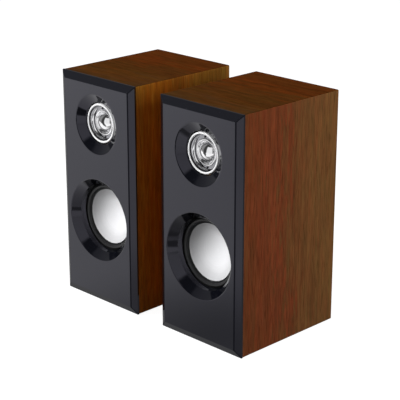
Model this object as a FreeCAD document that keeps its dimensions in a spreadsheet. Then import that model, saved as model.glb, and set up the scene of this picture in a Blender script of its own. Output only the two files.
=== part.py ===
import FreeCAD, Part
import math
import os

import Sketcher
from FreeCAD import Placement, Rotation, Vector

# A pair of small two-way desktop speakers that stand apart. Each has a mitred
# wooden cabinet, a moulded gloss black fascia with two funnel mouths, a woofer with
# a dish cone and a tweeter behind a chromed bezel. The right one holds the amplifier.
#
# Frame: millimetres, +Z up, +X to the right, fronts facing -Y. The origin lies on the
# floor, midway between the two speakers and midway between the fascias and the end
# of the volume knob. Depths are counted backwards from the fascia's front face.

SIZES = {
    # cabinet
    "cabinet_width": 86.4,
    "cabinet_height": 190.0,
    "cabinet_depth": 108.0,
    "speaker_gap": 29.2,
    "board_thickness": 6.0,
    "arris_radius": 1.0,
    "rear_board_inset": 3.0,
    "rear_board_thickness": 5.0,
    "front_board_thickness": 5.0,
    "foot_height": 1.2,
    "foot_radius": 5.0,
    "foot_inset": 12.0,
    # fascia moulding
    "fascia_depth": 4.5,
    "bevel_width": 5.8,
    "bevel_depth": 3.0,
    "fascia_wall": 2.4,
    "hollow_inset": 3.6,
    "spigot_clearance": 0.15,
    "spigot_wall": 2.0,
    "rim_radius": 0.5,
    "boss_radius": 3.4,
    "boss_inset": 4.6,
    "peg_radius": 2.0,
    "peg_length": 4.0,
    "peg_clearance": 0.1,
    "rib_thickness": 1.4,
    "rib_depth": 8.0,
    # woofer mouth in the fascia
    "woofer_height": 71.5,
    "woofer_mouth_radius": 34.4,
    "woofer_knee_radius": 28.8,
    "woofer_knee_depth": 6.4,
    "woofer_throat_radius": 27.8,
    "woofer_throat_depth": 10.6,
    "funnel_wall": 1.3,
    # woofer
    "gasket_thickness": 1.2,
    "gasket_width": 1.2,
    "surround_thickness": 0.4,
    "surround_outer_radius": 27.3,
    "surround_half_roll": 1.35,
    "surround_roll_radius": 1.4,
    "surround_skirt_slope": 0.2,
    "surround_tab": 1.0,
    "glue_gap": 0.05,
    "surround_drop": 1.1,
    "flange_thickness": 1.0,
    "flange_radius": 34.0,
    "flange_opening": 27.5,
    "basket_wall": 1.0,
    "basket_waist_radius": 23.8,
    "ledge_depth": 25.4,
    "ledge_inner_radius": 20.3,
    "basket_floor_depth": 28.0,
    "basket_floor_radius": 19.5,
    "basket_window_width": 26.0,
    "basket_windows": 4,
    "cone_radius": 22.9,
    "cone_dish": 7.9,
    "cone_thickness": 0.6,
    "cone_collar": 0.8,
    "cone_gap": 0.2,
    "former_radius": 9.5,
    "former_thickness": 0.3,
    "winding_thickness": 0.5,
    "winding_length": 6.0,
    "former_tail": 0.6,
    "spider_thickness": 0.4,
    "spider_wave": 0.6,
    "spider_waves": 3,
    "spider_lip": 1.8,
    "spider_gap": 0.3,
    "coil_clearance": 0.4,
    "top_plate_thickness": 3.0,
    "top_plate_radius": 19.5,
    "magnet_thickness": 8.0,
    "magnet_radius": 22.5,
    "magnet_bore_radius": 12.5,
    "yoke_thickness": 3.0,
    "yoke_radius": 20.0,
    "woofer_screws": 4,
    "woofer_screw_circle": 31.8,
    # screws
    "screw_head_radius": 1.9,
    "screw_head_height": 1.2,
    "screw_radius": 1.4,
    "screw_length": 5.5,
    "screw_clearance": 0.1,
    "slot_width": 0.6,
    # tweeter mouth in the fascia
    "tweeter_drop": 37.8,
    "tweeter_mouth_radius": 24.4,
    "tweeter_throat_radius": 17.1,
    "tweeter_throat_depth": 4.6,
    "tweeter_lip": 1.8,
    "tweeter_edge": 0.6,
    # tweeter
    "bezel_radius": 16.2,
    "bezel_bead_half_width": 0.95,
    "bezel_bead_radius": 1.0,
    "bezel_bead_depth": 5.4,
    "cup_mouth_radius": 14.0,
    "cup_mouth_depth": 6.0,
    "cup_floor_radius": 12.8,
    "cup_floor_depth": 8.8,
    "cup_wall_curve": 3.5,
    "inner_ring_radius": 9.7,
    "inner_ring_half_width": 1.05,
    "inner_ring_curve": 1.1,
    "bezel_bore_chamfer": 0.5,
    "bezel_bore_radius": 8.1,
    "dome_radius": 7.5,
    "dome_height": 4.0,
    "dome_skirt": 1.6,
    "diaphragm_thickness": 0.3,
    "diaphragm_lip_radius": 13.6,
    "housing_flange_thickness": 2.1,
    "tweeter_screw_circle": 11.8,
    "tweeter_screw_head_radius": 0.8,
    "tweeter_screw_head_height": 0.6,
    "tweeter_screw_radius": 0.6,
    "tweeter_screw_length": 3.2,
    "tweeter_screw_turn": 6.0,
    "housing_body_radius": 13.0,
    "housing_wall": 1.2,
    "housing_vent_radius": 3.0,
    "tweeter_coil_radius": 6.7,
    "tweeter_coil_thickness": 0.4,
    "tweeter_coil_length": 3.2,
    "tweeter_gap": 0.35,
    "tweeter_yoke_wall": 1.6,
    "tweeter_plate_thickness": 2.2,
    "tweeter_magnet_thickness": 4.0,
    "tweeter_yoke_floor": 1.8,
    # rear fittings
    "port_drop": 55.0,
    "port_radius": 10.0,
    "port_wall": 1.4,
    "port_flange_radius": 15.0,
    "port_flange_thickness": 1.5,
    "port_lip_edge": 0.3,
    "port_length": 38.0,
    "plate_thickness": 2.0,
    "plate_corner_radius": 3.0,
    "plate_margin": 4.0,
    "control_plate_width": 52.0,
    "control_plate_height": 72.0,
    "control_plate_centre": 62.0,
    "terminal_plate_size": 36.0,
    "terminal_plate_centre": 62.0,
    "plate_screw_inset": 4.6,
    "link_drop": 20.0,
    "link_radius": 4.15,
    "link_shell_wall": 0.5,
    "link_core_bore": 1.6,
    "link_length": 7.0,
    "link_flange_radius": 5.4,
    "link_flange_thickness": 0.8,
    "link_tail": 6.0,
    "link_tail_radius": 2.5,
    # controls on the right speaker
    "knob_rise": 18.0,
    "knob_radius": 8.0,
    "knob_height": 7.0,
    "knob_gap": 0.5,
    "knob_wall": 1.4,
    "knob_hollow": 2.4,
    "knob_chamfer": 0.8,
    "knob_flutes": 16,
    "knob_flute_radius": 0.9,
    "shaft_radius": 3.0,
    "shaft_flat": 1.5,
    "shaft_clearance": 0.05,
    "bush_wall": 0.6,
    "bush_reach": 2.2,
    "nut_radius": 5.0,
    "nut_height": 1.6,
    "pot_radius": 8.2,
    "pot_depth": 8.0,
    "socket_spread": 12.0,
    "socket_drop": 2.0,
    "line_in_bore": 1.8,
    "line_in_barrel": 3.0,
    "line_in_width": 9.0,
    "line_in_bore_length": 13.0,
    "socket_proud": 0.8,
    "socket_floor": 1.2,
    "power_bore": 3.1,
    "power_barrel": 4.4,
    "power_width": 10.0,
    "power_pin": 1.05,
    "power_bore_length": 9.5,
    "standoff_length": 19.0,
    "circuit_board_thickness": 1.6,
    "circuit_board_width": 42.0,
    "circuit_board_height": 54.0,
    "standoff_radius": 2.6,
    "capacitor_radius": 5.0,
    "capacitor_length": 12.0,
    "heat_sink_width": 16.0,
    "heat_sink_height": 14.0,
    "heat_sink_thickness": 9.0,
    "heat_sink_slot": 1.4,
    "heat_sink_slots": 4,
}

SHEET = "Sizes"
SIDES = {"left": -1, "right": 1}
FULL_TURN = 360.0
QUARTER_TURN = 90.0
DIAGONAL = math.sqrt(0.5)
# How far a cutting profile runs past the face that it opens.
OVERCUT = 2.0
# The plate screws stand with their slots across the corners.
SCREW_SLOT_TURN = 45.0
# Capacitor centres stand this many radii from the board's middle.
CAPACITOR_SPREAD = 1.3
# Share of the heat sink's height that its slots take.
HEAT_SINK_SLOT_SHARE = 0.75


class Dim:
    """A number together with the sheet expression that it comes from."""

    def __init__(self, number, text=None):
        self.number = float(number)
        self.text = text if text is not None else repr(float(number))

    def __add__(self, other):
        return joined(self, "+", other)

    def __radd__(self, other):
        return joined(other, "+", self)

    def __sub__(self, other):
        return joined(self, "-", other)

    def __rsub__(self, other):
        return joined(other, "-", self)

    def __mul__(self, other):
        return joined(self, "*", other)

    def __rmul__(self, other):
        return joined(other, "*", self)

    def __truediv__(self, other):
        return joined(self, "/", other)

    def __neg__(self):
        return joined(0, "-", self)


def as_dim(value):
    return value if isinstance(value, Dim) else Dim(value)


def joined(left, sign, right):
    left = as_dim(left)
    right = as_dim(right)
    numbers = {
        "+": lambda a, b: a + b,
        "-": lambda a, b: a - b,
        "*": lambda a, b: a * b,
        "/": lambda a, b: a / b,
    }
    number = numbers[sign](left.number, right.number)
    return Dim(number, f"({left.text} {sign} {right.text})")


def root_of(value):
    return Dim(math.sqrt(value.number), f"sqrt({value.text})")


def size(name):
    """One driving dimension, as a Dim tied to its cell in the sheet."""
    return Dim(SIZES[name], f"{SHEET}.{name}")


# ---------------------------------------------------------------- document helpers

doc = FreeCAD.newDocument("desktop_speakers")
sub_parts = []
cutting_features = []


def fill_sheet():
    sheet = doc.addObject("Spreadsheet::Sheet", SHEET)
    for row, (name, value) in enumerate(SIZES.items(), start=1):
        sheet.set(f"A{row}", name.replace("_", " "))
        sheet.set(f"B{row}", str(value))
        sheet.setAlias(f"B{row}", name)
    doc.recompute()


def bind(thing, target, value):
    """Ties one property to the sheet."""
    thing.setExpression(target, as_dim(value).text)


def place(thing, position, rotation=None):
    """Puts a sub-part at a position given as three Dims."""
    numbers = [as_dim(value).number for value in position]
    thing.Placement = Placement(Vector(*numbers), rotation or Rotation())
    for letter, value in zip("xyz", position):
        if as_dim(value).text != "0.0":
            bind(thing, f"Placement.Base.{letter}", value)


def new_body(label, position, rotation=None):
    body = doc.addObject("PartDesign::Body", label)
    body.Label = label
    place(body, position, rotation)
    sub_parts.append(body)
    return body


def origin_plane(body, role):
    return next(item for item in body.Origin.OriginFeatures if item.Role == role)


def new_sketch(body, role, name, offset=0, lift=0):
    """A sketch on one of the body's own planes, moved along its normal and lifted."""
    sketch = body.newObject("Sketcher::SketchObject", name)
    sketch.AttachmentSupport = [(origin_plane(body, role), "")]
    sketch.MapMode = "FlatFace"
    offset = as_dim(offset)
    lift = as_dim(lift)
    sketch.AttachmentOffset = Placement(Vector(0, lift.number, offset.number), Rotation())
    for letter, value in (("y", lift), ("z", offset)):
        if value.number:
            bind(sketch, f"AttachmentOffset.Base.{letter}", value)
    return sketch


def pin_coordinate(sketch, kind, geometry, point, value):
    """Fixes one coordinate of a sketch point to a size."""
    value = as_dim(value)
    if value.text == "0.0":
        axis = -2 if kind == "DistanceX" else -1
        rule = Sketcher.Constraint("PointOnObject", geometry, point, axis)
        sketch.addConstraint(rule)
        return
    rule = Sketcher.Constraint(kind, -1, 1, geometry, point, value.number)
    index = sketch.addConstraint(rule)
    bind(sketch, f"Constraints[{index}]", value)


class Arc:
    """The next corner of an outline, reached along an arc that bulges to one side.

    side is 1 where the arc's centre lies to the left of the way along it."""

    def __init__(self, across, up, radius, side):
        self.corner = (as_dim(across), as_dim(up))
        self.radius = as_dim(radius)
        self.side = side


def arc_edge(start, end, radius, side):
    """The short circular arc between two points, as a Part.Arc."""
    chord = end - start
    middle = (start + end) * 0.5
    left = Vector(-chord.y, chord.x, 0).normalize()
    reach = max(radius * radius - chord.Length * chord.Length / 4, 0.0)
    centre = middle + left * math.sqrt(reach) * side
    crown = centre - left * radius * side
    return Part.Arc(start, crown, end)


def draw_outline(sketch, corners):
    """Adds one closed outline whose corners, and arc radii, follow the sheet."""
    spots = []
    for corner in corners:
        across, up = corner.corner if isinstance(corner, Arc) else corner
        spots.append((as_dim(across), as_dim(up)))
    count = len(spots)
    first = sketch.GeometryCount
    flipped = []
    for index in range(count):
        start = Vector(spots[index - 1][0].number, spots[index - 1][1].number, 0)
        end = Vector(spots[index][0].number, spots[index][1].number, 0)
        corner = corners[index]
        if isinstance(corner, Arc):
            edge = arc_edge(start, end, corner.radius.number, corner.side)
            sketch.addGeometry(edge)
            # A sketch keeps arcs anticlockwise, so one drawn clockwise swaps ends.
            flipped.append(corner.side < 0)
        else:
            sketch.addGeometry(Part.LineSegment(start, end))
            flipped.append(False)
    for index in range(count):
        after = (index + 1) % count
        tail = 1 if flipped[index] else 2
        head = 2 if flipped[after] else 1
        link = Sketcher.Constraint("Coincident", first + index, tail, first + after, head)
        sketch.addConstraint(link)
        pin_coordinate(sketch, "DistanceX", first + index, tail, spots[index][0])
        pin_coordinate(sketch, "DistanceY", first + index, tail, spots[index][1])
    for index, corner in enumerate(corners):
        if isinstance(corner, Arc):
            rule = Sketcher.Constraint("Radius", first + index, corner.radius.number)
            number = sketch.addConstraint(rule)
            bind(sketch, f"Constraints[{number}]", corner.radius)


def draw_circle(sketch, across, up, radius):
    across = as_dim(across)
    up = as_dim(up)
    radius = as_dim(radius)
    centre = Vector(across.number, up.number, 0)
    circle = Part.Circle(centre, Vector(0, 0, 1), radius.number)
    index = sketch.addGeometry(circle)
    pin_coordinate(sketch, "DistanceX", index, 3, across)
    pin_coordinate(sketch, "DistanceY", index, 3, up)
    number = sketch.addConstraint(Sketcher.Constraint("Radius", index, radius.number))
    bind(sketch, f"Constraints[{number}]", radius)


def rectangle(half_width, bottom, top):
    return [
        (-half_width, bottom),
        (half_width, bottom),
        (half_width, top),
        (-half_width, top),
    ]


def centred_rectangle(across, up, width, height):
    """The corners of a rectangle about a centre."""
    return [
        (across - width / 2, up - height / 2),
        (across + width / 2, up - height / 2),
        (across + width / 2, up + height / 2),
        (across - width / 2, up + height / 2),
    ]


def rounded_rectangle(width, height, radius):
    """A rectangle about the origin, with rounded corners, drawn anticlockwise."""
    right = width / 2
    top = height / 2
    return [
        (right - radius, -top),
        Arc(right, -top + radius, radius, 1),
        (right, top - radius),
        Arc(right - radius, top, radius, 1),
        (-right + radius, top),
        Arc(-right, top - radius, radius, 1),
        (-right, -top + radius),
        Arc(-right + radius, -top, radius, 1),
    ]


# On the XZ plane a sketch's normal is -Y. "Backwards" is +Y, away from the listener.


def sketch_at_depth(body, name, depth):
    """A sketch that faces the listener, at a depth behind the body's origin."""
    return new_sketch(body, "XZ_Plane", name, -as_dim(depth))


def pad_back(body, sketch, length, name):
    pad = body.newObject("PartDesign::Pad", name)
    pad.Profile = sketch
    pad.Reversed = True
    bind(pad, "Length", length)
    return pad


def pocket_back(body, sketch, length, name):
    pocket = body.newObject("PartDesign::Pocket", name)
    pocket.Profile = sketch
    pocket.Reversed = False
    bind(pocket, "Length", length)
    cutting_features.append(pocket)
    return pocket


def pocket_forward(body, sketch, length, name):
    pocket = pocket_back(body, sketch, length, name)
    pocket.Reversed = True
    return pocket


def turned(body, corners, name, kind="PartDesign::Revolution", lift=0):
    """Revolves an outline of (depth, radius) corners about a line along Y."""
    sketch = new_sketch(body, "YZ_Plane", name + "_outline", lift=lift)
    draw_outline(sketch, corners)
    feature = body.newObject(kind, name)
    feature.Profile = sketch
    feature.ReferenceAxis = (sketch, ["H_Axis"])
    feature.Angle = FULL_TURN
    if kind == "PartDesign::Groove":
        cutting_features.append(feature)
    return feature


def grooved(body, corners, name, lift=0):
    return turned(body, corners, name, "PartDesign::Groove", lift)


def ring(inner, outer, front, back):
    """The section of a plain ring: four (depth, radius) corners."""
    return [(front, inner), (back, inner), (back, outer), (front, outer)]


def repeat_around(body, feature, count, name):
    """Repeats a cut evenly about the body's Y axis."""
    pattern = body.newObject("PartDesign::PolarPattern", name)
    pattern.Originals = [feature]
    pattern.Axis = (origin_plane(body, "Y_Axis"), [""])
    pattern.Angle = FULL_TURN
    bind(pattern, "Occurrences", count)
    body.Tip = pattern
    return pattern


def solids_in_one(label, shapes, position):
    """Several separate solids under one name, such as a set of screws."""
    feature = doc.addObject("Part::Feature", label)
    feature.Label = label
    feature.Shape = Part.makeCompound(shapes)
    place(feature, position)
    sub_parts.append(feature)
    return feature


# ---------------------------------------------------------------- shared sizes

half_width = size("cabinet_width") / 2
board = size("board_thickness")
cabinet_top = size("cabinet_height")
woofer_height = size("woofer_height")
tweeter_height = cabinet_top - size("tweeter_drop")
port_height = cabinet_top - size("port_drop")
driver_heights = {"woofer": woofer_height, "tweeter": tweeter_height}
inner_half_width = half_width - board
spigot_half_width = inner_half_width - size("spigot_clearance")
flange_depth = size("woofer_throat_depth") + size("gasket_thickness") + size("surround_thickness")
front_board_depth = flange_depth + size("flange_thickness")
rear_face_depth = size("cabinet_depth") - size("rear_board_inset")
rear_board_depth = rear_face_depth - size("rear_board_thickness")
plate_face_depth = rear_face_depth + size("plate_thickness")
knob_start_depth = plate_face_depth + size("knob_gap")
overall_depth = knob_start_depth + size("knob_height")
speaker_centre = (size("cabinet_width") + size("speaker_gap")) / 2
floor_to_cabinet = size("foot_height")
front = -(overall_depth / 2)


def at(side, across, depth, height):
    """A point of one speaker: across from its middle, back from its face, up its cabinet."""
    return (
        speaker_centre * SIDES[side] + across,
        front + depth,
        floor_to_cabinet + height,
    )


def peg_places():
    """Where the fascia's pegs enter the front board, as (across, up) pairs."""
    across = inner_half_width - size("boss_inset")
    low = board + size("boss_inset")
    middle = (woofer_height + tweeter_height) / 2
    high = cabinet_top - board - size("boss_inset")
    return [(across * sign, up) for up in (low, middle, high) for sign in (-1, 1)]


# ---------------------------------------------------------------- cabinet


def mitred_board(label, span, position, turn):
    """One board of the sleeve: outer face up, mitred ends, rounded arrises."""
    body = new_body(label, position, Rotation(Vector(0, 1, 0), turn))
    half = span / 2
    radius = size("arris_radius")
    nick = radius * (1 - DIAGONAL)
    sketch = new_sketch(body, "XZ_Plane", label + "_section")
    draw_outline(
        sketch,
        [
            (-half + board, -board),
            (half - board, -board),
            (half - nick, -nick),
            Arc(half - radius, 0, radius, 1),
            (-half + radius, 0),
            Arc(-half + nick, -nick, radius, 1),
        ],
    )
    pad_back(body, sketch, size("cabinet_depth") - size("fascia_depth"), label + "_length")


def cabinet_sleeve(side):
    """Four wrapped boards, mitred into a sleeve that is open at the front and back."""
    depth = size("fascia_depth")
    width = size("cabinet_width")
    middle = cabinet_top / 2
    mitred_board(f"{side}_top_board", width, at(side, 0, depth, cabinet_top), 0)
    mitred_board(f"{side}_bottom_board", width, at(side, 0, depth, 0), 180)
    mitred_board(f"{side}_outer_side_board", cabinet_top, at(side, half_width * SIDES[side], depth, middle),
                 QUARTER_TURN * SIDES[side])
    mitred_board(f"{side}_inner_side_board", cabinet_top, at(side, -half_width * SIDES[side], depth, middle),
                 -QUARTER_TURN * SIDES[side])


def front_board(side):
    """The board that carries both drivers, glued across the sleeve behind the fascia."""
    body = new_body(f"{side}_front_board", at(side, 0, front_board_depth, 0))
    sketch = new_sketch(body, "XZ_Plane", "front_board_outline")
    draw_outline(sketch, rectangle(inner_half_width, board, cabinet_top - board))
    basket_hole = size("flange_opening") + size("basket_wall") + size("peg_clearance")
    draw_circle(sketch, 0, woofer_height, basket_hole)
    housing_hole = size("housing_body_radius") + size("peg_clearance")
    draw_circle(sketch, 0, tweeter_height, housing_hole)
    for across, up in peg_places():
        draw_circle(sketch, across, up, size("peg_radius") + size("peg_clearance"))
    reach = size("woofer_screw_circle") * DIAGONAL
    hole = size("screw_radius") + size("screw_clearance")
    for across_sign in (-1, 1):
        for up_sign in (-1, 1):
            up = woofer_height + reach * up_sign
            draw_circle(sketch, reach * across_sign, up, hole)
    pad_back(body, sketch, size("front_board_thickness"), "front_board_thickness")


def rear_board(side):
    """The back of the cabinet, set in from the sleeve's edges."""
    body = new_body(f"{side}_rear_board", at(side, 0, rear_board_depth, 0))
    sketch = new_sketch(body, "XZ_Plane", "rear_board_outline")
    draw_outline(sketch, rectangle(inner_half_width, board, cabinet_top - board))
    port_hole = size("port_radius") + size("port_wall") + size("peg_clearance")
    draw_circle(sketch, 0, port_height, port_hole)
    margin = size("plate_margin") * 2
    if side == "right":
        width = size("control_plate_width") - margin
        height = size("control_plate_height") - margin * 2
        centre = size("control_plate_centre")
        draw_outline(sketch, centred_rectangle(Dim(0), centre, width, height))
    else:
        room = size("link_flange_radius") + size("link_flange_thickness")
        draw_circle(sketch, 0, size("terminal_plate_centre"), room)
    for across, up in plate_screw_places(side):
        centre = plate_size(side)[2]
        draw_circle(sketch, across, centre + up, size("screw_radius") + size("screw_clearance"))
    pad_back(body, sketch, size("rear_board_thickness"), "rear_board_thickness")


def feet():
    """Four thin round rubber pads under each cabinet."""
    shapes = []
    across = half_width - size("foot_inset")
    near = size("foot_inset") + size("fascia_depth")
    far = size("cabinet_depth") - size("foot_inset")
    for side in SIDES:
        for sign in (-1, 1):
            for depth in (near, far):
                spot = at(side, across * sign, depth, 0)
                base = Vector(spot[0].number, spot[1].number, 0)
                height = SIZES["foot_height"]
                shapes.append(Part.makeCylinder(SIZES["foot_radius"], height, base))
    solids_in_one("feet", shapes, (Dim(0), Dim(0), Dim(0)))


# ---------------------------------------------------------------- fascia


def mouth_outlines(mouth, steps):
    """A funnel's outer skin and its hollow, both turned about the driver's axis.

    steps are the (depth, radius) corners of the wall behind the rim."""
    wall = size("funnel_wall")
    rim = size("rim_radius")
    end, throat = steps[-1]
    skin = [(size("fascia_wall") / 2, 0), (size("fascia_wall") / 2, mouth + wall)]
    for step in steps:
        depth, radius = step.corner if isinstance(step, Arc) else step
        skin.append((depth, radius + wall))
    skin += [(end, 0)]
    deep = steps[0][0]
    wide = mouth - steps[0][1]
    run = root_of(deep * deep + wide * wide)
    rounding = rim * root_of((run + wide) / (run - wide))
    rim_end = Arc(rim * deep / run, mouth - rim * wide / run, rounding, 1)
    hollow = [(-OVERCUT, 0), (-OVERCUT, mouth + rim), (0, mouth + rim), rim_end]
    hollow += steps
    hollow += [(end + OVERCUT, throat), (end + OVERCUT, 0)]
    return skin, hollow


def eased_throat(mouth, throat, depth, tangent):
    """The throat's front edge, rounded over from the funnel's wall to the bore."""
    wide = mouth - throat
    run = root_of(depth * depth + wide * wide)
    rounding = tangent * root_of((run + depth) / (run - depth))
    return [
        (depth - tangent * depth / run, throat + tangent * wide / run),
        Arc(depth + tangent, throat, rounding, 1),
    ]


def fascia(side):
    """The gloss moulding: bevelled face, spigot frame, bosses, ribs and two funnels."""
    body = new_body(f"{side}_fascia", at(side, 0, 0, 0))
    wall = size("fascia_wall")
    inset = size("bevel_width")
    rear = size("fascia_depth")

    face = sketch_at_depth(body, "face_outline", 0)
    draw_outline(face, rectangle(half_width - inset, inset, cabinet_top - inset))
    edge = sketch_at_depth(body, "bevel_edge_outline", size("bevel_depth"))
    draw_outline(edge, rectangle(half_width, 0, cabinet_top))
    bevel = body.newObject("PartDesign::AdditiveLoft", "bevelled_face")
    bevel.Profile = face
    bevel.Sections = [edge]
    bevel.Ruled = True
    skirt = sketch_at_depth(body, "skirt_outline", size("bevel_depth"))
    draw_outline(skirt, rectangle(half_width, 0, cabinet_top))
    pad_back(body, skirt, rear - size("bevel_depth"), "skirt")

    hollow = sketch_at_depth(body, "hollow_outline", rear)
    gap = size("hollow_inset")
    draw_outline(hollow, rectangle(half_width - gap, gap, cabinet_top - gap))
    pocket_forward(body, hollow, rear - wall, "hollow")

    root = wall / 2
    reach = front_board_depth - root
    spigot = sketch_at_depth(body, "spigot_outline", root)
    low = board + size("spigot_clearance")
    rim = size("spigot_wall")
    draw_outline(spigot, rectangle(spigot_half_width, low, cabinet_top - low))
    inner = low + rim
    draw_outline(spigot, rectangle(spigot_half_width - rim, inner, cabinet_top - inner))
    pad_back(body, spigot, reach, "spigot_frame")
    for name, radius, start, length in (
        ("bosses", size("boss_radius"), root, reach),
        ("pegs", size("peg_radius"), front_board_depth - root, size("peg_length") + root),
    ):
        sketch = sketch_at_depth(body, name + "_outline", start)
        for across, up in peg_places():
            draw_circle(sketch, across, up, radius)
        pad_back(body, sketch, length, name)

    half_rib = size("rib_thickness") / 2
    middle = (woofer_height + tweeter_height) / 2
    woofer_top = woofer_height + size("woofer_knee_radius") + half_rib
    tweeter_foot = tweeter_height - size("tweeter_throat_radius") - half_rib
    for name, half, bottom, top in (
        ("cross_rib", spigot_half_width - rim / 2, middle - half_rib, middle + half_rib),
        ("upright_rib", half_rib, woofer_top, tweeter_foot),
    ):
        sketch = sketch_at_depth(body, name + "_outline", root)
        draw_outline(sketch, rectangle(half, bottom, top))
        pad_back(body, sketch, size("rib_depth"), name)

    throat = size("tweeter_throat_radius")
    throat_depth = size("tweeter_throat_depth")
    edge = eased_throat(size("tweeter_mouth_radius"), throat, throat_depth, size("tweeter_edge"))
    funnels = {
        "woofer": [
            (size("woofer_knee_depth"), size("woofer_knee_radius")),
            (size("woofer_throat_depth"), size("woofer_throat_radius")),
        ],
        "tweeter": edge + [(throat_depth + size("tweeter_lip"), throat)],
    }
    outlines = {
        name: mouth_outlines(size(name + "_mouth_radius"), steps)
        for name, steps in funnels.items()
    }
    for name, (skin, _) in outlines.items():
        turned(body, skin, name + "_funnel", lift=driver_heights[name])
    for name, (_, mouth) in outlines.items():
        grooved(body, mouth, name + "_mouth", lift=driver_heights[name])


# ---------------------------------------------------------------- woofer

lip_depth = flange_depth - size("surround_thickness")
seal_radius = size("woofer_throat_radius") + size("gasket_width")
cone_rim_depth = lip_depth + size("surround_drop") + size("surround_thickness")
coil_bore = size("former_radius") + size("former_thickness") + size("winding_thickness")
gap_radius = coil_bore + size("coil_clearance")
plate_depth = size("basket_floor_depth") + size("basket_wall")
magnet_depth = plate_depth + size("top_plate_thickness")
yoke_depth = magnet_depth + size("magnet_thickness")
winding_start = plate_depth + size("top_plate_thickness") / 2 - size("winding_length") / 2


def driver_body(side, piece, height):
    """A body whose own Y axis is the driver's axis, starting at the fascia's face."""
    return new_body(f"{side}_{piece}", at(side, 0, 0, height))


def bowl_radius(radius, rise):
    """The radius of a spherical cap of a given half width and rise."""
    return (radius * radius + rise * rise) / (rise * 2)


def woofer_frame(side, height):
    """Pressed basket: screwed flange, windowed wall, spider ledge and floor."""
    body = driver_body(side, "woofer_frame", height)
    wall = size("basket_wall")
    opening = size("flange_opening")
    waist = size("basket_waist_radius")
    ledge = size("ledge_inner_radius")
    ledge_depth = size("ledge_depth")
    floor = size("basket_floor_depth")
    floor_radius = size("basket_floor_radius")
    centre_hole = gap_radius + size("coil_clearance")
    turned(
        body,
        [
            (flange_depth, opening),
            (ledge_depth, waist - wall),
            (ledge_depth, ledge),
            (floor, floor_radius),
            (floor, centre_hole),
            (floor + wall, centre_hole),
            (floor + wall, floor_radius + wall),
            (ledge_depth + wall, ledge + wall),
            (ledge_depth + wall, waist),
            (front_board_depth, opening + wall),
            (front_board_depth, size("flange_radius")),
            (flange_depth, size("flange_radius")),
        ],
        "basket",
    )
    window = new_sketch(body, "XY_Plane", "window_outline")
    half = size("basket_window_width") / 2
    near = front_board_depth + size("front_board_thickness")
    draw_outline(window, rectangle(half, near, ledge_depth - wall * 2))
    cut = body.newObject("PartDesign::Pocket", "window")
    cut.Profile = window
    cut.Reversed = True
    bind(cut, "Length", size("flange_radius"))
    cutting_features.append(cut)
    repeat_around(body, cut, size("basket_windows"), "windows")
    holes = sketch_at_depth(body, "screw_holes_outline", flange_depth)
    reach = size("woofer_screw_circle") * DIAGONAL
    for across_sign in (-1, 1):
        for up_sign in (-1, 1):
            hole = size("screw_radius") + size("screw_clearance")
            draw_circle(holes, reach * across_sign, reach * up_sign, hole)
    pocket_back(body, holes, size("flange_thickness"), "screw_holes")


def woofer_surround(side, height):
    """Rubber half roll whose inner edge drops behind the cone's rim, where it is glued."""
    body = driver_body(side, "woofer_surround", height)
    sheet = size("surround_thickness")
    half = size("surround_half_roll")
    roll = size("surround_roll_radius")
    outer = size("surround_outer_radius")
    inner = outer - half * 2
    foot = inner - size("surround_skirt_slope")
    rim = size("cone_radius")
    tab = size("surround_tab")
    groove = cone_rim_depth + size("cone_thickness") + size("glue_gap")
    tuck = groove + tab * rim_slope
    turned(
        body,
        [
            (lip_depth, seal_radius),
            (lip_depth, outer),
            Arc(lip_depth, inner, roll, 1),
            (groove, foot),
            (groove, rim),
            (tuck, rim - tab),
            (tuck + sheet, rim - tab),
            (groove + sheet, rim),
            (groove + sheet, foot + sheet),
            (flange_depth, inner + sheet),
            Arc(flange_depth, outer - sheet, roll - sheet, -1),
            (flange_depth, seal_radius),
        ],
        "half_roll",
    )


def woofer_cone(side, height):
    """A one-piece dish with a collar behind it for the voice coil former."""
    body = driver_body(side, "woofer_cone", height)
    radius = size("cone_radius")
    dish = size("cone_dish")
    skin = size("cone_thickness")
    turned(
        body,
        [
            (cone_rim_depth, radius),
            Arc(cone_rim_depth + dish, 0, dish_radius, -1),
            (cone_rim_depth + dish + skin, 0),
            Arc(cone_rim_depth + skin, radius, dish_radius, 1),
        ],
        "dish",
    )
    inner = size("former_radius") - size("former_thickness")
    outer = size("former_radius") + size("former_thickness") * 2
    start = collar_depth() - size("cone_collar") - skin / 2
    turned(body, ring(inner, outer, start, collar_depth()), "collar")


dish_radius = bowl_radius(size("cone_radius"), size("cone_dish"))
# How much deeper the dish gets, just inside its rim, for each millimetre inwards.
rim_slope = size("cone_radius") / (dish_radius - size("cone_dish"))


def collar_depth():
    """Where the cone's collar ends and the former begins."""
    radius = size("former_radius")
    sag = dish_radius - root_of(dish_radius * dish_radius - radius * radius)
    behind = cone_rim_depth + size("cone_dish") + size("cone_thickness")
    return behind - sag + size("cone_collar")


def voice_coil(side, height):
    """Paper former with its copper winding, glued to the cone's collar."""
    body = driver_body(side, "voice_coil", height)
    bore = size("former_radius")
    skin = bore + size("former_thickness")
    end = winding_start + size("winding_length")
    turned(
        body,
        [
            (collar_depth(), bore),
            (end + size("former_tail"), bore),
            (end + size("former_tail"), skin),
            (end, skin),
            (end, coil_bore),
            (winding_start, coil_bore),
            (winding_start, skin),
            (collar_depth(), skin),
        ],
        "former_and_winding",
    )


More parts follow.
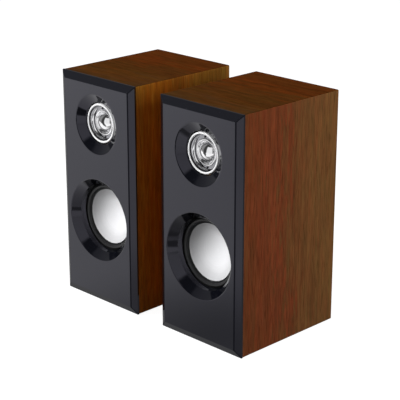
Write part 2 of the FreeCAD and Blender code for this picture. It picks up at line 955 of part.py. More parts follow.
def woofer_spider(side, height):
    """Corrugated cloth disc from the frame's ledge to the former."""
    body = driver_body(side, "woofer_spider", height)
    cloth = size("spider_thickness")
    wave = size("spider_wave")
    outer = size("basket_waist_radius") - size("basket_wall") - size("cone_gap")
    inner = size("former_radius") + size("former_thickness") + size("spider_gap")
    step = (outer - inner - size("spider_lip") * 2) / (size("spider_waves") * 2)
    ledge = size("ledge_depth")
    front_side = [(ledge - cloth, outer), (ledge - cloth, outer - size("spider_lip"))]
    for index in range(1, SIZES["spider_waves"] * 2):
        rise = wave if index % 2 else -wave
        at_radius = outer - size("spider_lip") - step * index
        front_side.append((ledge - cloth - rise, at_radius))
    front_side += [(ledge - cloth, inner + size("spider_lip")), (ledge - cloth, inner)]
    rear_side = [(depth + cloth, radius) for depth, radius in reversed(front_side)]
    turned(body, front_side + rear_side, "corrugations")


def woofer_motor(side, height):
    """Ring magnet between a top plate and a yoke with its pole."""
    gasket = driver_body(side, "woofer_gasket", height)
    throat = size("woofer_throat_radius")
    turned(gasket, ring(throat, seal_radius, size("woofer_throat_depth"), lip_depth), "ring")
    top_plate = driver_body(side, "woofer_top_plate", height)
    turned(top_plate, ring(gap_radius, size("top_plate_radius"), plate_depth, magnet_depth), "plate")
    magnet = driver_body(side, "woofer_magnet", height)
    bore = size("magnet_bore_radius")
    turned(magnet, ring(bore, size("magnet_radius"), magnet_depth, yoke_depth), "ring")
    yoke = driver_body(side, "woofer_yoke", height)
    pole = size("former_radius") - size("coil_clearance")
    yoke_end = yoke_depth + size("yoke_thickness")
    turned(
        yoke,
        [
            (plate_depth, 0),
            (yoke_end, 0),
            (yoke_end, size("yoke_radius")),
            (yoke_depth, size("yoke_radius")),
            (yoke_depth, pole),
            (plate_depth, pole),
        ],
        "plate_and_pole",
    )


def screw(radius, head_radius, head_height, length):
    """One slotted screw along +Y, its head's underside on the origin."""
    backwards = Vector(0, 1, 0)
    head = Part.makeCylinder(head_radius, head_height, Vector(0, -head_height, 0), backwards)
    shank = Part.makeCylinder(radius, length, Vector(0, 0, 0), backwards)
    slot_depth = head_height / 2
    slot_start = Vector(-head_radius, -head_height, -SIZES["slot_width"] / 2)
    slot = Part.makeBox(head_radius * 2, slot_depth, SIZES["slot_width"], slot_start)
    return head.fuse(shank).cut(slot).removeSplitter()


def set_of_screws(label, spots, pattern, turn=0, forwards=False):
    """Copies of one screw; turn rotates the slots, forwards points the shanks at -Y."""
    shapes = []
    facing = Rotation(Vector(0, 0, 1), FULL_TURN / 2 if forwards else 0)
    for spot in spots:
        copy = pattern.copy()
        position = Vector(*[as_dim(value).number for value in spot])
        copy.Placement = Placement(position, facing * Rotation(Vector(0, 1, 0), turn))
        shapes.append(copy)
    solids_in_one(label, shapes, (Dim(0), Dim(0), Dim(0)))


def woofer_screws():
    reach = size("woofer_screw_circle") * DIAGONAL
    spots = [
        at(side, reach * across, flange_depth, woofer_height + reach * up)
        for side in SIDES
        for across in (-1, 1)
        for up in (-1, 1)
    ]
    pattern = screw(
        SIZES["screw_radius"],
        SIZES["screw_head_radius"],
        SIZES["screw_head_height"],
        SIZES["screw_length"],
    )
    set_of_screws("woofer_screws", spots, pattern)


# ---------------------------------------------------------------- tweeter

housing_depth = front_board_depth - size("housing_flange_thickness")
bezel_back = housing_depth - size("diaphragm_thickness")
tweeter_motor_depth = housing_depth + size("tweeter_gap")
tweeter_floor_depth = (
    tweeter_motor_depth + size("tweeter_plate_thickness") + size("tweeter_magnet_thickness")
)
tweeter_yoke_end = tweeter_floor_depth + size("tweeter_yoke_floor")
tweeter_coil_outer = size("tweeter_coil_radius") + size("tweeter_coil_thickness")
tweeter_yoke_bore = tweeter_coil_outer + size("tweeter_gap")
tweeter_pole_radius = size("tweeter_coil_radius") - size("tweeter_gap")


def tweeter_screw_spots():
    """The two screws in the cup's floor, as (across, up) from the tweeter's axis."""
    turn = math.radians(SIZES["tweeter_screw_turn"])
    circle = size("tweeter_screw_circle")
    return [(circle * (-math.sin(turn) * sign), circle * (math.cos(turn) * sign)) for sign in (1, -1)]


def tweeter_screw_holes(body, depth, length):
    sketch = sketch_at_depth(body, "screw_holes_outline", depth)
    hole = size("tweeter_screw_radius") + size("screw_clearance")
    for across, up in tweeter_screw_spots():
        draw_circle(sketch, across, up, hole)
    pocket_back(body, sketch, length, "screw_holes")


def tweeter_bezel(side, height):
    """Chromed ring with a round bead, a cup and a smaller bead round the dome."""
    body = driver_body(side, "tweeter_bezel", height)
    bead = size("bezel_bead_depth")
    outer = size("bezel_radius")
    floor = size("cup_floor_depth")
    small = size("inner_ring_half_width")
    ring_radius = size("inner_ring_radius")
    bore = size("bezel_bore_radius")
    chamfer = size("bezel_bore_chamfer")
    turned(
        body,
        [
            (bezel_back, outer),
            (bead, outer),
            Arc(bead, outer - size("bezel_bead_half_width") * 2, size("bezel_bead_radius"), 1),
            (size("cup_mouth_depth"), size("cup_mouth_radius")),
            Arc(floor, size("cup_floor_radius"), size("cup_wall_curve"), -1),
            (floor, ring_radius + small),
            Arc(floor, ring_radius - small, size("inner_ring_curve"), 1),
            (floor, bore + chamfer),
            (floor + chamfer, bore),
            (bezel_back, bore),
        ],
        "cup_and_beads",
    )
    tweeter_screw_holes(body, floor, bezel_back - floor)


def tweeter_diaphragm(side, height):
    """Metal dome drawn in one piece with its skirt and its clamped lip."""
    body = driver_body(side, "tweeter_diaphragm", height)
    foil = size("diaphragm_thickness")
    radius = size("dome_radius")
    rise = size("dome_height")
    base = bezel_back - size("dome_skirt")
    lip = size("diaphragm_lip_radius")
    turned(
        body,
        [
            (bezel_back, lip),
            (bezel_back, radius),
            (base, radius),
            Arc(base - rise, 0, bowl_radius(radius, rise), 1),
            (base - rise + foil, 0),
            Arc(base, radius - foil, bowl_radius(radius - foil, rise - foil), -1),
            (housing_depth, radius - foil),
            (housing_depth, lip),
        ],
        "dome_and_lip",
    )
    tweeter_screw_holes(body, bezel_back, foil)


def tweeter_motor(side, height):
    """Housing, voice coil, magnet with its pole plate, and yoke of the tweeter."""
    housing = driver_body(side, "tweeter_housing", height)
    wall = size("housing_wall")
    outer = size("housing_body_radius")
    bore = tweeter_yoke_bore + size("tweeter_yoke_wall") + size("tweeter_gap")
    turned(
        housing,
        [
            (housing_depth, bore),
            (housing_depth + wall, bore),
            (housing_depth + wall, outer - wall),
            (tweeter_yoke_end, outer - wall),
            (tweeter_yoke_end, size("housing_vent_radius")),
            (tweeter_yoke_end + wall, size("housing_vent_radius")),
            (tweeter_yoke_end + wall, outer),
            (front_board_depth, outer),
            (front_board_depth, size("bezel_radius")),
            (housing_depth, size("bezel_radius")),
        ],
        "flanged_cup",
    )
    tweeter_screw_holes(housing, housing_depth, wall)
    coil = driver_body(side, "tweeter_coil", height)
    coil_end = tweeter_motor_depth + size("tweeter_plate_thickness")
    coil_start = coil_end - size("tweeter_coil_length")
    turned(coil, ring(size("tweeter_coil_radius"), tweeter_coil_outer, coil_start, coil_end), "coil")
    magnet = driver_body(side, "tweeter_magnet", height)
    plate_end = tweeter_motor_depth + size("tweeter_plate_thickness")
    narrow = tweeter_pole_radius - size("tweeter_gap")
    turned(
        magnet,
        [
            (tweeter_motor_depth, 0),
            (tweeter_floor_depth, 0),
            (tweeter_floor_depth, narrow),
            (plate_end, narrow),
            (plate_end, tweeter_pole_radius),
            (tweeter_motor_depth, tweeter_pole_radius),
        ],
        "magnet_and_pole_plate",
    )
    yoke = driver_body(side, "tweeter_yoke", height)
    yoke_radius = tweeter_yoke_bore + size("tweeter_yoke_wall")
    turned(
        yoke,
        [
            (tweeter_motor_depth, tweeter_yoke_bore),
            (tweeter_floor_depth, tweeter_yoke_bore),
            (tweeter_floor_depth, 0),
            (tweeter_yoke_end, 0),
            (tweeter_yoke_end, yoke_radius),
            (tweeter_motor_depth, yoke_radius),
        ],
        "cup",
    )


def tweeter_screws():
    spots = []
    for side in SIDES:
        for across, up in tweeter_screw_spots():
            spots.append(at(side, across, size("cup_floor_depth"), tweeter_height + up))
    pattern = screw(
        SIZES["tweeter_screw_radius"],
        SIZES["tweeter_screw_head_radius"],
        SIZES["tweeter_screw_head_height"],
        SIZES["tweeter_screw_length"],
    )
    set_of_screws("tweeter_screws", spots, pattern, SIZES["tweeter_screw_turn"])


# ---------------------------------------------------------------- rear fittings


def port_tube(side):
    """Flared bass port through the rear board."""
    body = driver_body(side, "port_tube", port_height)
    bore = size("port_radius")
    wall = size("port_wall")
    lip = rear_face_depth + size("port_flange_thickness")
    flare = size("port_flange_thickness") - size("port_lip_edge")
    start = lip - size("port_length")
    turned(
        body,
        [
            (start, bore),
            (lip - flare, bore),
            Arc(lip, bore + flare, flare, 1),
            (lip, size("port_flange_radius")),
            (rear_face_depth, size("port_flange_radius")),
            (rear_face_depth, bore + wall),
            (start, bore + wall),
        ],
        "flared_tube",
    )


def plate_size(side):
    """Width, height and centre height of a speaker's rear plate."""
    if side == "right":
        return (
            size("control_plate_width"),
            size("control_plate_height"),
            size("control_plate_centre"),
        )
    return size("terminal_plate_size"), size("terminal_plate_size"), size("terminal_plate_centre")


def plate_screw_places(side):
    """The four corner screws of a rear plate, as (across, up) from its centre."""
    width, height, _ = plate_size(side)
    across = width / 2 - size("plate_screw_inset")
    up = height / 2 - size("plate_screw_inset")
    return [(across * x_sign, up * z_sign) for x_sign in (-1, 1) for z_sign in (-1, 1)]


def link_rise(side):
    """How far the link socket sits above the plate's centre."""
    return -size("link_drop") if side == "right" else Dim(0)


def rear_plate(side):
    """The screwed plate on the rear board that carries the sockets."""
    width, height, centre = plate_size(side)
    name = "right_control_plate" if side == "right" else "left_terminal_plate"
    body = new_body(name, at(side, 0, 0, centre))
    blank = sketch_at_depth(body, "plate_outline", rear_face_depth)
    draw_outline(blank, rounded_rectangle(width, height, size("plate_corner_radius")))
    pad_back(body, blank, size("plate_thickness"), "plate")
    holes = sketch_at_depth(body, "holes_outline", rear_face_depth)
    slack = size("screw_clearance")
    for across, up in plate_screw_places(side):
        draw_circle(holes, across, up, size("screw_radius") + slack)
    draw_circle(holes, 0, link_rise(side), size("link_radius") + slack)
    if side == "right":
        drop = -size("socket_drop")
        draw_circle(holes, 0, size("knob_rise"), bush_radius + slack)
        draw_circle(holes, -size("socket_spread"), drop, size("line_in_barrel") + slack)
        draw_circle(holes, size("socket_spread"), drop, size("power_barrel") + slack)
    pocket_back(body, holes, size("plate_thickness"), "holes")


def plate_screws():
    spots = []
    for side in SIDES:
        _, _, centre = plate_size(side)
        for across, up in plate_screw_places(side):
            spots.append(at(side, across, plate_face_depth, centre + up))
    pattern = screw(
        SIZES["screw_radius"],
        SIZES["screw_head_radius"],
        SIZES["screw_head_height"],
        SIZES["screw_length"],
    )
    set_of_screws("plate_screws", spots, pattern, SCREW_SLOT_TURN, forwards=True)


def link_socket(side):
    """Phono socket that carries the signal from one speaker to the other."""
    _, _, centre = plate_size(side)
    body = driver_body(side, "link_socket", centre + link_rise(side))
    shell = size("link_radius")
    wall = size("link_shell_wall")
    end = plate_face_depth + size("link_length")
    core_face = end - size("link_flange_thickness")
    tail = rear_face_depth - size("link_tail")
    turned(
        body,
        [
            (tail, 0),
            (tail, size("link_tail_radius")),
            (rear_face_depth, size("link_tail_radius")),
            (rear_face_depth, shell),
            (plate_face_depth, shell),
            (plate_face_depth, size("link_flange_radius")),
            (plate_face_depth + size("link_flange_thickness"), size("link_flange_radius")),
            (plate_face_depth + size("link_flange_thickness"), shell),
            (end, shell),
            (end, shell - wall),
            (core_face, shell - wall),
            (core_face, size("link_core_bore")),
            (rear_face_depth, size("link_core_bore")),
            (rear_face_depth, 0),
        ],
        "shell_and_core",
    )


# ---------------------------------------------------------------- controls

bush_bore = size("shaft_radius") + size("shaft_clearance")
bush_radius = bush_bore + size("bush_wall")
knob_end_depth = knob_start_depth + size("knob_height")
knob_web_depth = knob_start_depth + size("knob_hollow")
shaft_end_depth = knob_end_depth - size("knob_wall")
shaft_start_depth = rear_face_depth - size("pot_depth") + size("knob_wall")
control_height = size("control_plate_centre") + size("knob_rise")


def d_section(radius, flat):
    """A round section with one flat side facing up."""
    half = root_of(radius * radius - flat * flat)
    return [(-half, flat), Arc(0, -radius, radius, 1), Arc(half, flat, radius, 1)]


def volume_knob():
    """Fluted knob with a hollow back and a bore to match the shaft's flat."""
    body = new_body("volume_knob", at("right", 0, 0, control_height))
    outer = size("knob_radius")
    chamfer = size("knob_chamfer")
    hollow = outer - size("knob_wall")
    turned(
        body,
        [
            (knob_web_depth, 0),
            (knob_web_depth, hollow),
            (knob_start_depth, hollow),
            (knob_start_depth, outer),
            (knob_end_depth - chamfer, outer),
            (knob_end_depth, outer - chamfer),
            (knob_end_depth, 0),
        ],
        "cap",
    )
    bore = sketch_at_depth(body, "bore_outline", knob_web_depth)
    slack = size("shaft_clearance")
    draw_outline(bore, d_section(size("shaft_radius") + slack, size("shaft_flat") + slack))
    pocket_back(body, bore, shaft_end_depth - knob_web_depth + slack, "shaft_bore")
    flute = sketch_at_depth(body, "flute_outline", knob_web_depth)
    draw_circle(flute, 0, outer + size("knob_flute_radius") / 2, size("knob_flute_radius"))
    cut = pocket_back(body, flute, size("knob_height"), "flute")
    repeat_around(body, cut, size("knob_flutes"), "flutes")


def volume_shaft():
    """Control shaft, flat-sided where the knob grips it."""
    body = new_body("volume_shaft", at("right", 0, 0, control_height))
    radius = size("shaft_radius")
    turned(
        body,
        [
            (shaft_start_depth, 0),
            (shaft_end_depth, 0),
            (shaft_end_depth, radius),
            (shaft_start_depth, radius),
        ],
        "rod",
    )
    flat = sketch_at_depth(body, "flat_outline", knob_web_depth)
    draw_outline(flat, rectangle(radius, size("shaft_flat"), radius + OVERCUT))
    pocket_back(body, flat, shaft_end_depth - knob_web_depth, "flat")


def volume_pot():
    """Rotary control behind the plate, with its bush and nut."""
    body = new_body("volume_pot", at("right", 0, 0, control_height))
    turned(
        body,
        [
            (rear_face_depth - size("pot_depth"), 0),
            (rear_face_depth - size("pot_depth"), size("pot_radius")),
            (rear_face_depth, size("pot_radius")),
            (rear_face_depth, bush_radius),
            (plate_face_depth, bush_radius),
            (plate_face_depth, size("nut_radius")),
            (plate_face_depth + size("nut_height"), size("nut_radius")),
            (plate_face_depth + size("nut_height"), bush_radius),
            (plate_face_depth + size("bush_reach"), bush_radius),
            (plate_face_depth + size("bush_reach"), bush_bore),
            (shaft_start_depth - size("knob_gap"), bush_bore),
            (shaft_start_depth - size("knob_gap"), 0),
        ],
        "case_bush_and_nut",
    )


def plate_socket(label, across, barrel, width, bore, bore_length):
    """A barrel through the plate on a square block behind it; returns the body."""
    body = new_body(
        label,
        at("right", across, 0, size("control_plate_centre") - size("socket_drop")),
    )
    face = plate_face_depth + size("socket_proud")
    floor = face - bore_length
    block = sketch_at_depth(body, "block_outline", floor - size("socket_floor"))
    draw_outline(block, centred_rectangle(Dim(0), Dim(0), width, width))
    pad_back(body, block, rear_face_depth - floor + size("socket_floor"), "block")
    turned(body, [(floor, 0), (face, 0), (face, barrel), (floor, barrel)], "barrel")
    grooved(body, [(floor, 0), (face + OVERCUT, 0), (face + OVERCUT, bore), (floor, bore)], "bore")
    return body


def sockets():
    """Stereo line-in socket and the low-voltage power socket with its pin."""
    plate_socket(
        "line_in_socket",
        -size("socket_spread"),
        size("line_in_barrel"),
        size("line_in_width"),
        size("line_in_bore"),
        size("line_in_bore_length"),
    )
    power = plate_socket(
        "power_socket",
        size("socket_spread"),
        size("power_barrel"),
        size("power_width"),
        size("power_bore"),
        size("power_bore_length"),
    )
    floor = plate_face_depth + size("socket_proud") - size("power_bore_length")
    pin = size("power_pin")
    start = floor - size("socket_floor") / 2
    turned(power, [(start, 0), (plate_face_depth, 0), (plate_face_depth, pin), (start, pin)], "pin")


def amplifier_board():
    """Circuit board on four standoffs, with two capacitors and a finned heat sink."""
    body = driver_body("right", "amplifier_board", size("control_plate_centre"))
    front_face = rear_face_depth - size("standoff_length") - size("circuit_board_thickness")
    width = size("circuit_board_width")
    height = size("circuit_board_height")
    card = sketch_at_depth(body, "card_outline", front_face)
    draw_outline(card, centred_rectangle(Dim(0), Dim(0), width, height))
    pad_back(body, card, size("circuit_board_thickness"), "card")
    inset = size("standoff_radius") + size("circuit_board_thickness") / 4
    standoffs = sketch_at_depth(body, "standoffs_outline", front_face)
    for x_sign in (-1, 1):
        for z_sign in (-1, 1):
            across = (width / 2 - inset) * x_sign
            draw_circle(standoffs, across, (height / 2 - inset) * z_sign, size("standoff_radius"))
    pad_back(body, standoffs, rear_face_depth - front_face, "standoffs")
    can = size("capacitor_radius")
    cans = sketch_at_depth(body, "capacitors_outline", front_face - size("capacitor_length"))
    for sign in (-1, 1):
        draw_circle(cans, can * sign * CAPACITOR_SPREAD, -height / 4, can)
    pad_back(body, cans, size("capacitor_length") + size("circuit_board_thickness") / 2, "capacitors")
    fins = sketch_at_depth(body, "heat_sink_outline", front_face - size("heat_sink_thickness"))
    sink_width = size("heat_sink_width")
    sink_height = size("heat_sink_height")
    draw_outline(fins, centred_rectangle(Dim(0), height / 4, sink_width, sink_height))
    pad_back(body, fins, size("heat_sink_thickness") + size("circuit_board_thickness") / 2, "heat_sink")
    slots = sketch_at_depth(body, "slots_outline", front_face - size("heat_sink_thickness"))
    slot = size("heat_sink_slot")
    pitch = sink_width / (size("heat_sink_slots") + 1)
    for index in range(1, SIZES["heat_sink_slots"] + 1):
        centre = pitch * index - sink_width / 2
        draw_outline(slots, centred_rectangle(centre, height / 4, slot, sink_height + OVERCUT))
    pocket_back(body, slots, size("heat_sink_thickness") * HEAT_SINK_SLOT_SHARE, "slots")


# ---------------------------------------------------------------- assembly


def check_and_export():
    """Makes sure that every feature built, then writes one file for each sub-part."""
    doc.recompute()
    for item in doc.Objects:
        faults = {"Invalid", "Error"} & set(item.State)
        if faults:
            raise RuntimeError(f"{item.Label} did not build: {item.State}")
    for feature in cutting_features:
        before = feature.BaseFeature.Shape.Volume
        if not feature.Shape.Volume < before:
            raise RuntimeError(f"{feature.Label} removed nothing")
    os.makedirs("parts", exist_ok=True)
    for part in sub_parts:
        if part.Shape.isNull() or not part.Shape.isValid():
            raise RuntimeError(f"{part.Label} has no valid shape")
        part.Shape.exportStep(f"parts/{part.Label}.step")


fill_sheet()
feet()
for each_side in SIDES:
    cabinet_sleeve(each_side)
    front_board(each_side)
    rear_board(each_side)
    fascia(each_side)
    woofer_frame(each_side, woofer_height)
    woofer_surround(each_side, woofer_height)
    woofer_cone(each_side, woofer_height)
    voice_coil(each_side, woofer_height)
    woofer_spider(each_side, woofer_height)
    woofer_motor(each_side, woofer_height)
    tweeter_bezel(each_side, tweeter_height)
    tweeter_diaphragm(each_side, tweeter_height)
    tweeter_motor(each_side, tweeter_height)
    port_tube(each_side)
    rear_plate(each_side)
    link_socket(each_side)
woofer_screws()
tweeter_screws()
plate_screws()
volume_knob()
volume_shaft()
volume_pot()
sockets()
amplifier_board()
check_and_export()
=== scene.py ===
import math

import bmesh
import bpy
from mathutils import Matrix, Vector


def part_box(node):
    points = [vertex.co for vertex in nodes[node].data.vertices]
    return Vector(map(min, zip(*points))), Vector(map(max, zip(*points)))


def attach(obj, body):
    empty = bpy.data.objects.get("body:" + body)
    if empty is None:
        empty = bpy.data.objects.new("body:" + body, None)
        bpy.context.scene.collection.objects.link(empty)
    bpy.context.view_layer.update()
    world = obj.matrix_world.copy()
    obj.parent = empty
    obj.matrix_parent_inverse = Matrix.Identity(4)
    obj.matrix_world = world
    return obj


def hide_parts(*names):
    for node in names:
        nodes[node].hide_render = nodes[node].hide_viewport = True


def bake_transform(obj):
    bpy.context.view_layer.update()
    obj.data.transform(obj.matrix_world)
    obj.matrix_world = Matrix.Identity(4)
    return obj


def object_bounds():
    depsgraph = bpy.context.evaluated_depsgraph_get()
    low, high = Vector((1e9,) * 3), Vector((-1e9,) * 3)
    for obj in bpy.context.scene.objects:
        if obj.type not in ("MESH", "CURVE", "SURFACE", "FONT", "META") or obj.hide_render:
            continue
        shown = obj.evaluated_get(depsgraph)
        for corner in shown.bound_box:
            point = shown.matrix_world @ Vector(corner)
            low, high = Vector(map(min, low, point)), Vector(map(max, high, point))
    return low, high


# A pair of two-way desktop speakers: cabinets wrapped in printed walnut foil, gloss
# black fascias, satin silver woofers and chromed tweeters, on a plain white floor.

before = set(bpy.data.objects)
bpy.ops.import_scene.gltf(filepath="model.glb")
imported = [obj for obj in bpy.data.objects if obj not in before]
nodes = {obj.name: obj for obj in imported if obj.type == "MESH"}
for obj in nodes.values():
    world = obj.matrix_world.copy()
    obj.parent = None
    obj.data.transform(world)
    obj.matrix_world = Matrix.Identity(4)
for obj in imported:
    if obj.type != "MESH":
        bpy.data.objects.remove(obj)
cad_low, cad_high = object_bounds()

MM = 0.001
SIDES = ("left", "right")
X_AXIS, Z_AXIS = 0, 2


# ---------------------------------------------------------------- small helpers


def paint(hex_colour):
    """A written sRGB colour as the linear values that a shader takes."""
    values = [int(hex_colour[i : i + 2], 16) / 255 for i in (1, 3, 5)]
    linear = [v / 12.92 if v <= 0.04045 else ((v + 0.055) / 1.055) ** 2.4 for v in values]
    return (*linear, 1.0)


def add_node(tree, kind, settings=None, **inputs):
    """Adds a node with its settings and a colour ramp's stops. Each input is a value, the
    output socket that feeds it, or a node whose first output does."""
    node = tree.nodes.new(kind)
    for name, value in (settings or {}).items():
        if name == "stops":
            elements = node.color_ramp.elements
            while len(elements) < len(value):
                elements.new(1.0)
            for element, (position, colour) in zip(elements, value):
                element.position = position
                element.color = colour
        else:
            setattr(node, name, value)
    for name, value in inputs.items():
        key = int(name[1:]) if name[0] == "i" and name[1:].isdigit() else name.replace("_", " ")
        if isinstance(value, bpy.types.Node):
            value = value.outputs[0]
        if isinstance(value, bpy.types.NodeSocket):
            tree.links.new(value, node.inputs[key])
        else:
            node.inputs[key].default_value = value
    return node


def new_finish(name):
    """An empty material, its node tree, and the place on the object as a socket."""
    finish = bpy.data.materials.new(name)
    finish.use_nodes = True
    tree = finish.node_tree
    tree.nodes.clear()
    return finish, tree, add_node(tree, "ShaderNodeTexCoord").outputs["Object"]


def complete(finish, **inputs):
    """Ends a material with its shader and its output."""
    shader = add_node(finish.node_tree, "ShaderNodeBsdfPrincipled", **inputs)
    add_node(finish.node_tree, "ShaderNodeOutputMaterial", Surface=shader)
    return finish


def wear(finish, *names):
    """Gives CAD nodes a finish."""
    for name in names:
        mesh = nodes[name].data
        mesh.materials.clear()
        mesh.materials.append(finish)


def both(*pieces):
    return [f"{side}_{piece}" for side in SIDES for piece in pieces]


def add_object(name, data):
    thing = bpy.data.objects.new(name, data)
    bpy.context.scene.collection.objects.link(thing)
    return thing


def add_piece(name, shape, finish):
    """Turns a bmesh into an object that wears a finish."""
    mesh = bpy.data.meshes.new(name)
    bmesh.ops.recalc_face_normals(shape, faces=shape.faces)
    shape.to_mesh(mesh)
    shape.free()
    mesh.materials.append(finish)
    return add_object(name, mesh)


def stand_off(thing, target, azimuth, elevation, distance):
    """Places a camera or a lamp at a distance from its target, and aims it. Azimuth 0 is
    in front of the fascias, and 90 is to their right."""
    a = math.radians(azimuth)
    e = math.radians(elevation)
    away = Vector((math.sin(a) * math.cos(e), -math.cos(a) * math.cos(e), math.sin(e)))
    thing.location = target + away * distance
    thing.rotation_mode = "QUATERNION"
    thing.rotation_quaternion = (-away).to_track_quat("-Z", "Y")


# ---------------------------------------------------------------- camera

CAMERA_AZIMUTH = 45.15
CAMERA_ELEVATION = 18.86
CAMERA_DISTANCE = 994.6 * MM
CAMERA_LENS_MM = 120.1
AIM_ACROSS = 45.23 * MM
AIM_UP = 117.29 * MM

camera_data = bpy.data.cameras.new("camera")
camera_data.sensor_width = 36.0
camera_data.lens = CAMERA_LENS_MM
camera_data.clip_start = 0.01
camera = add_object("camera", camera_data)
bpy.context.scene.camera = camera
fascia_low, fascia_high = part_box("right_fascia")
aim = fascia_low + Vector((AIM_ACROSS, 0, AIM_UP))
stand_off(camera, aim, CAMERA_AZIMUTH, CAMERA_ELEVATION, CAMERA_DISTANCE)


# ---------------------------------------------------------------- cabinet finishes

# Each grain of the foil: its pitch across the board in mm, how many times longer it is
# along the board, its detail and its roughness. Real pores are 0.1 mm wide. They are
# drawn 0.6 mm wide, so that they show.
WOOD_GRAINS = {
    "drift": (16, 5, 2.0, 0.5),
    "flecks": (3, 9, 3.0, 0.6),
    "hue": (3.5, 9, 3.0, 0.6),
    "broad_streaks": (4.0, 16, 3.0, 0.5),
    "fine_streaks": (1.0, 16, 3.0, 0.5),
    "pores": (0.6, 18, 1.0, 0.5),
}
REDDER = (1.06, 0.97, 0.97)
MORE_OLIVE = (0.92, 1.03, 1.0)


def walnut_foil(name, along, figure, shine):
    """Printed walnut foil, embossed and satin: dark pores and streaks run along each
    board, over a slow drift between red heartwood and olive sapwood."""
    finish, tree, place = new_finish(name)
    grains = {}
    for grain, (pitch, ratio, detail, grit) in WOOD_GRAINS.items():
        squeeze = Vector((1, 1, 1))
        squeeze[along] = 1 / ratio
        stretched = add_node(
            tree, "ShaderNodeVectorMath", {"operation": "MULTIPLY"}, i0=place, i1=squeeze
        )
        grains[grain] = add_node(
            tree, "ShaderNodeTexNoise", Vector=stretched, Scale=1 / (pitch * MM), Detail=detail,
            Roughness=grit,
        )

    # The figure runs across the board from the fascia to the back, and strays on its way.
    low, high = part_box("right_outer_side_board")
    across = add_node(tree, "ShaderNodeSeparateXYZ", Vector=place).outputs["Y"]
    share = add_node(tree, "ShaderNodeMapRange", Value=across, From_Min=low.y, From_Max=high.y)
    for grain, sway in (("drift", 0.28), ("flecks", 0.45)):
        stray = add_node(tree, "ShaderNodeMapRange", Value=grains[grain], To_Min=-sway, To_Max=sway)
        share = add_node(tree, "ShaderNodeMath", {"operation": "ADD"}, i0=share, i1=stray)
    stops = [(position, paint(shade)) for position, shade in figure]
    colour = add_node(tree, "ShaderNodeValToRGB", {"stops": stops}, Fac=share)

    # Red and olive streaks alternate. Broad and fine ones darken and lighten them.
    swing = add_node(tree, "ShaderNodeMapRange", Value=grains["hue"], From_Min=0.36, From_Max=0.64)
    tint = add_node(
        tree, "ShaderNodeMix", {"data_type": "VECTOR"}, i0=swing, i4=REDDER, i5=MORE_OLIVE
    )
    colour = add_node(
        tree, "ShaderNodeVectorMath", {"operation": "MULTIPLY"}, i0=colour, i1=tint.outputs[1]
    )
    tones = [
        add_node(
            tree, "ShaderNodeMapRange", Value=grains[grain], From_Min=0.3, From_Max=0.7,
            To_Min=0.84, To_Max=1.16,
        )
        for grain in ("broad_streaks", "fine_streaks")
    ]

    # The pores are darker, duller and sunk.
    pore = add_node(tree, "ShaderNodeMapRange", Value=grains["pores"], From_Min=0.56, From_Max=0.66)
    tones.append(add_node(tree, "ShaderNodeMapRange", Value=pore, To_Min=1.02, To_Max=0.74))
    for tone in tones:
        colour = add_node(
            tree, "ShaderNodeVectorMath", {"operation": "SCALE"}, i0=colour, Scale=tone
        )
    dull = add_node(tree, "ShaderNodeMapRange", Value=pore, To_Min=0.42, To_Max=0.62)
    sunk = add_node(tree, "ShaderNodeMath", {"operation": "MULTIPLY"}, i0=pore, i1=-1.0)
    relief = add_node(tree, "ShaderNodeBump", Height=sunk, Distance=0.04 * MM)
    return complete(
        finish, Base_Color=colour, Roughness=dull, Normal=relief, Specular_IOR_Level=shine
    )


# The folds lie a bevel's width inside the fascia's edge. The dull line starts at the
# fold and is 1 mm wide.
BEVEL_WIDTH = 5.8 * MM
FOLD_LINE_MIDDLE = 0.5 * MM
FOLD_LINE_REACH = 0.55 * MM


def gloss_abs(side):
    """High-gloss black ABS, moulded in a polished tool: mirror-like, with the faintest
    haze and waviness, and a cold tint in the black. A dull line runs along each upright
    fold, where the polish stops."""
    finish, tree, place = new_finish(f"{side}_gloss_black_abs")
    haze = add_node(tree, "ShaderNodeTexNoise", Vector=place, Scale=1 / (25 * MM), Detail=4.0)
    polish = add_node(tree, "ShaderNodeMapRange", Value=haze, To_Min=0.05, To_Max=0.09)
    low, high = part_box(f"{side}_fascia")
    offset = add_node(
        tree, "ShaderNodeVectorMath", {"operation": "SUBTRACT"}, i0=place, i1=(low + high) / 2
    )
    size = add_node(tree, "ShaderNodeVectorMath", {"operation": "ABSOLUTE"}, i0=offset)
    parts = add_node(tree, "ShaderNodeSeparateXYZ", Vector=size).outputs
    past_side, past_end = [
        add_node(
            tree, "ShaderNodeMath", {"operation": "SUBTRACT"}, i0=parts[axis],
            i1=(high[axis] - low[axis]) / 2 - BEVEL_WIDTH,
        )
        for axis in (X_AXIS, Z_AXIS)
    ]
    # Beyond the level folds the line turns outwards along the mitre.
    mitre = add_node(tree, "ShaderNodeMath", {"operation": "MAXIMUM"}, i0=past_end, i1=0.0)
    across = add_node(tree, "ShaderNodeMath", {"operation": "SUBTRACT"}, i0=past_side, i1=mitre)
    line = add_node(
        tree, "ShaderNodeMath", {"operation": "COMPARE"}, i0=across, i1=FOLD_LINE_MIDDLE,
        i2=FOLD_LINE_REACH,
    )
    skin = add_node(tree, "ShaderNodeMix", {"data_type": "FLOAT"}, i0=line, i2=polish, i3=0.9)
    ripple = add_node(tree, "ShaderNodeTexNoise", Vector=place, Scale=1 / (9 * MM), Detail=1.0)
    relief = add_node(tree, "ShaderNodeBump", Height=ripple, Distance=0.006 * MM)
    return complete(
        finish, Base_Color=paint("#090a0f"), Specular_Tint=paint("#e8e6fa"), Roughness=skin,
        Normal=relief,
    )


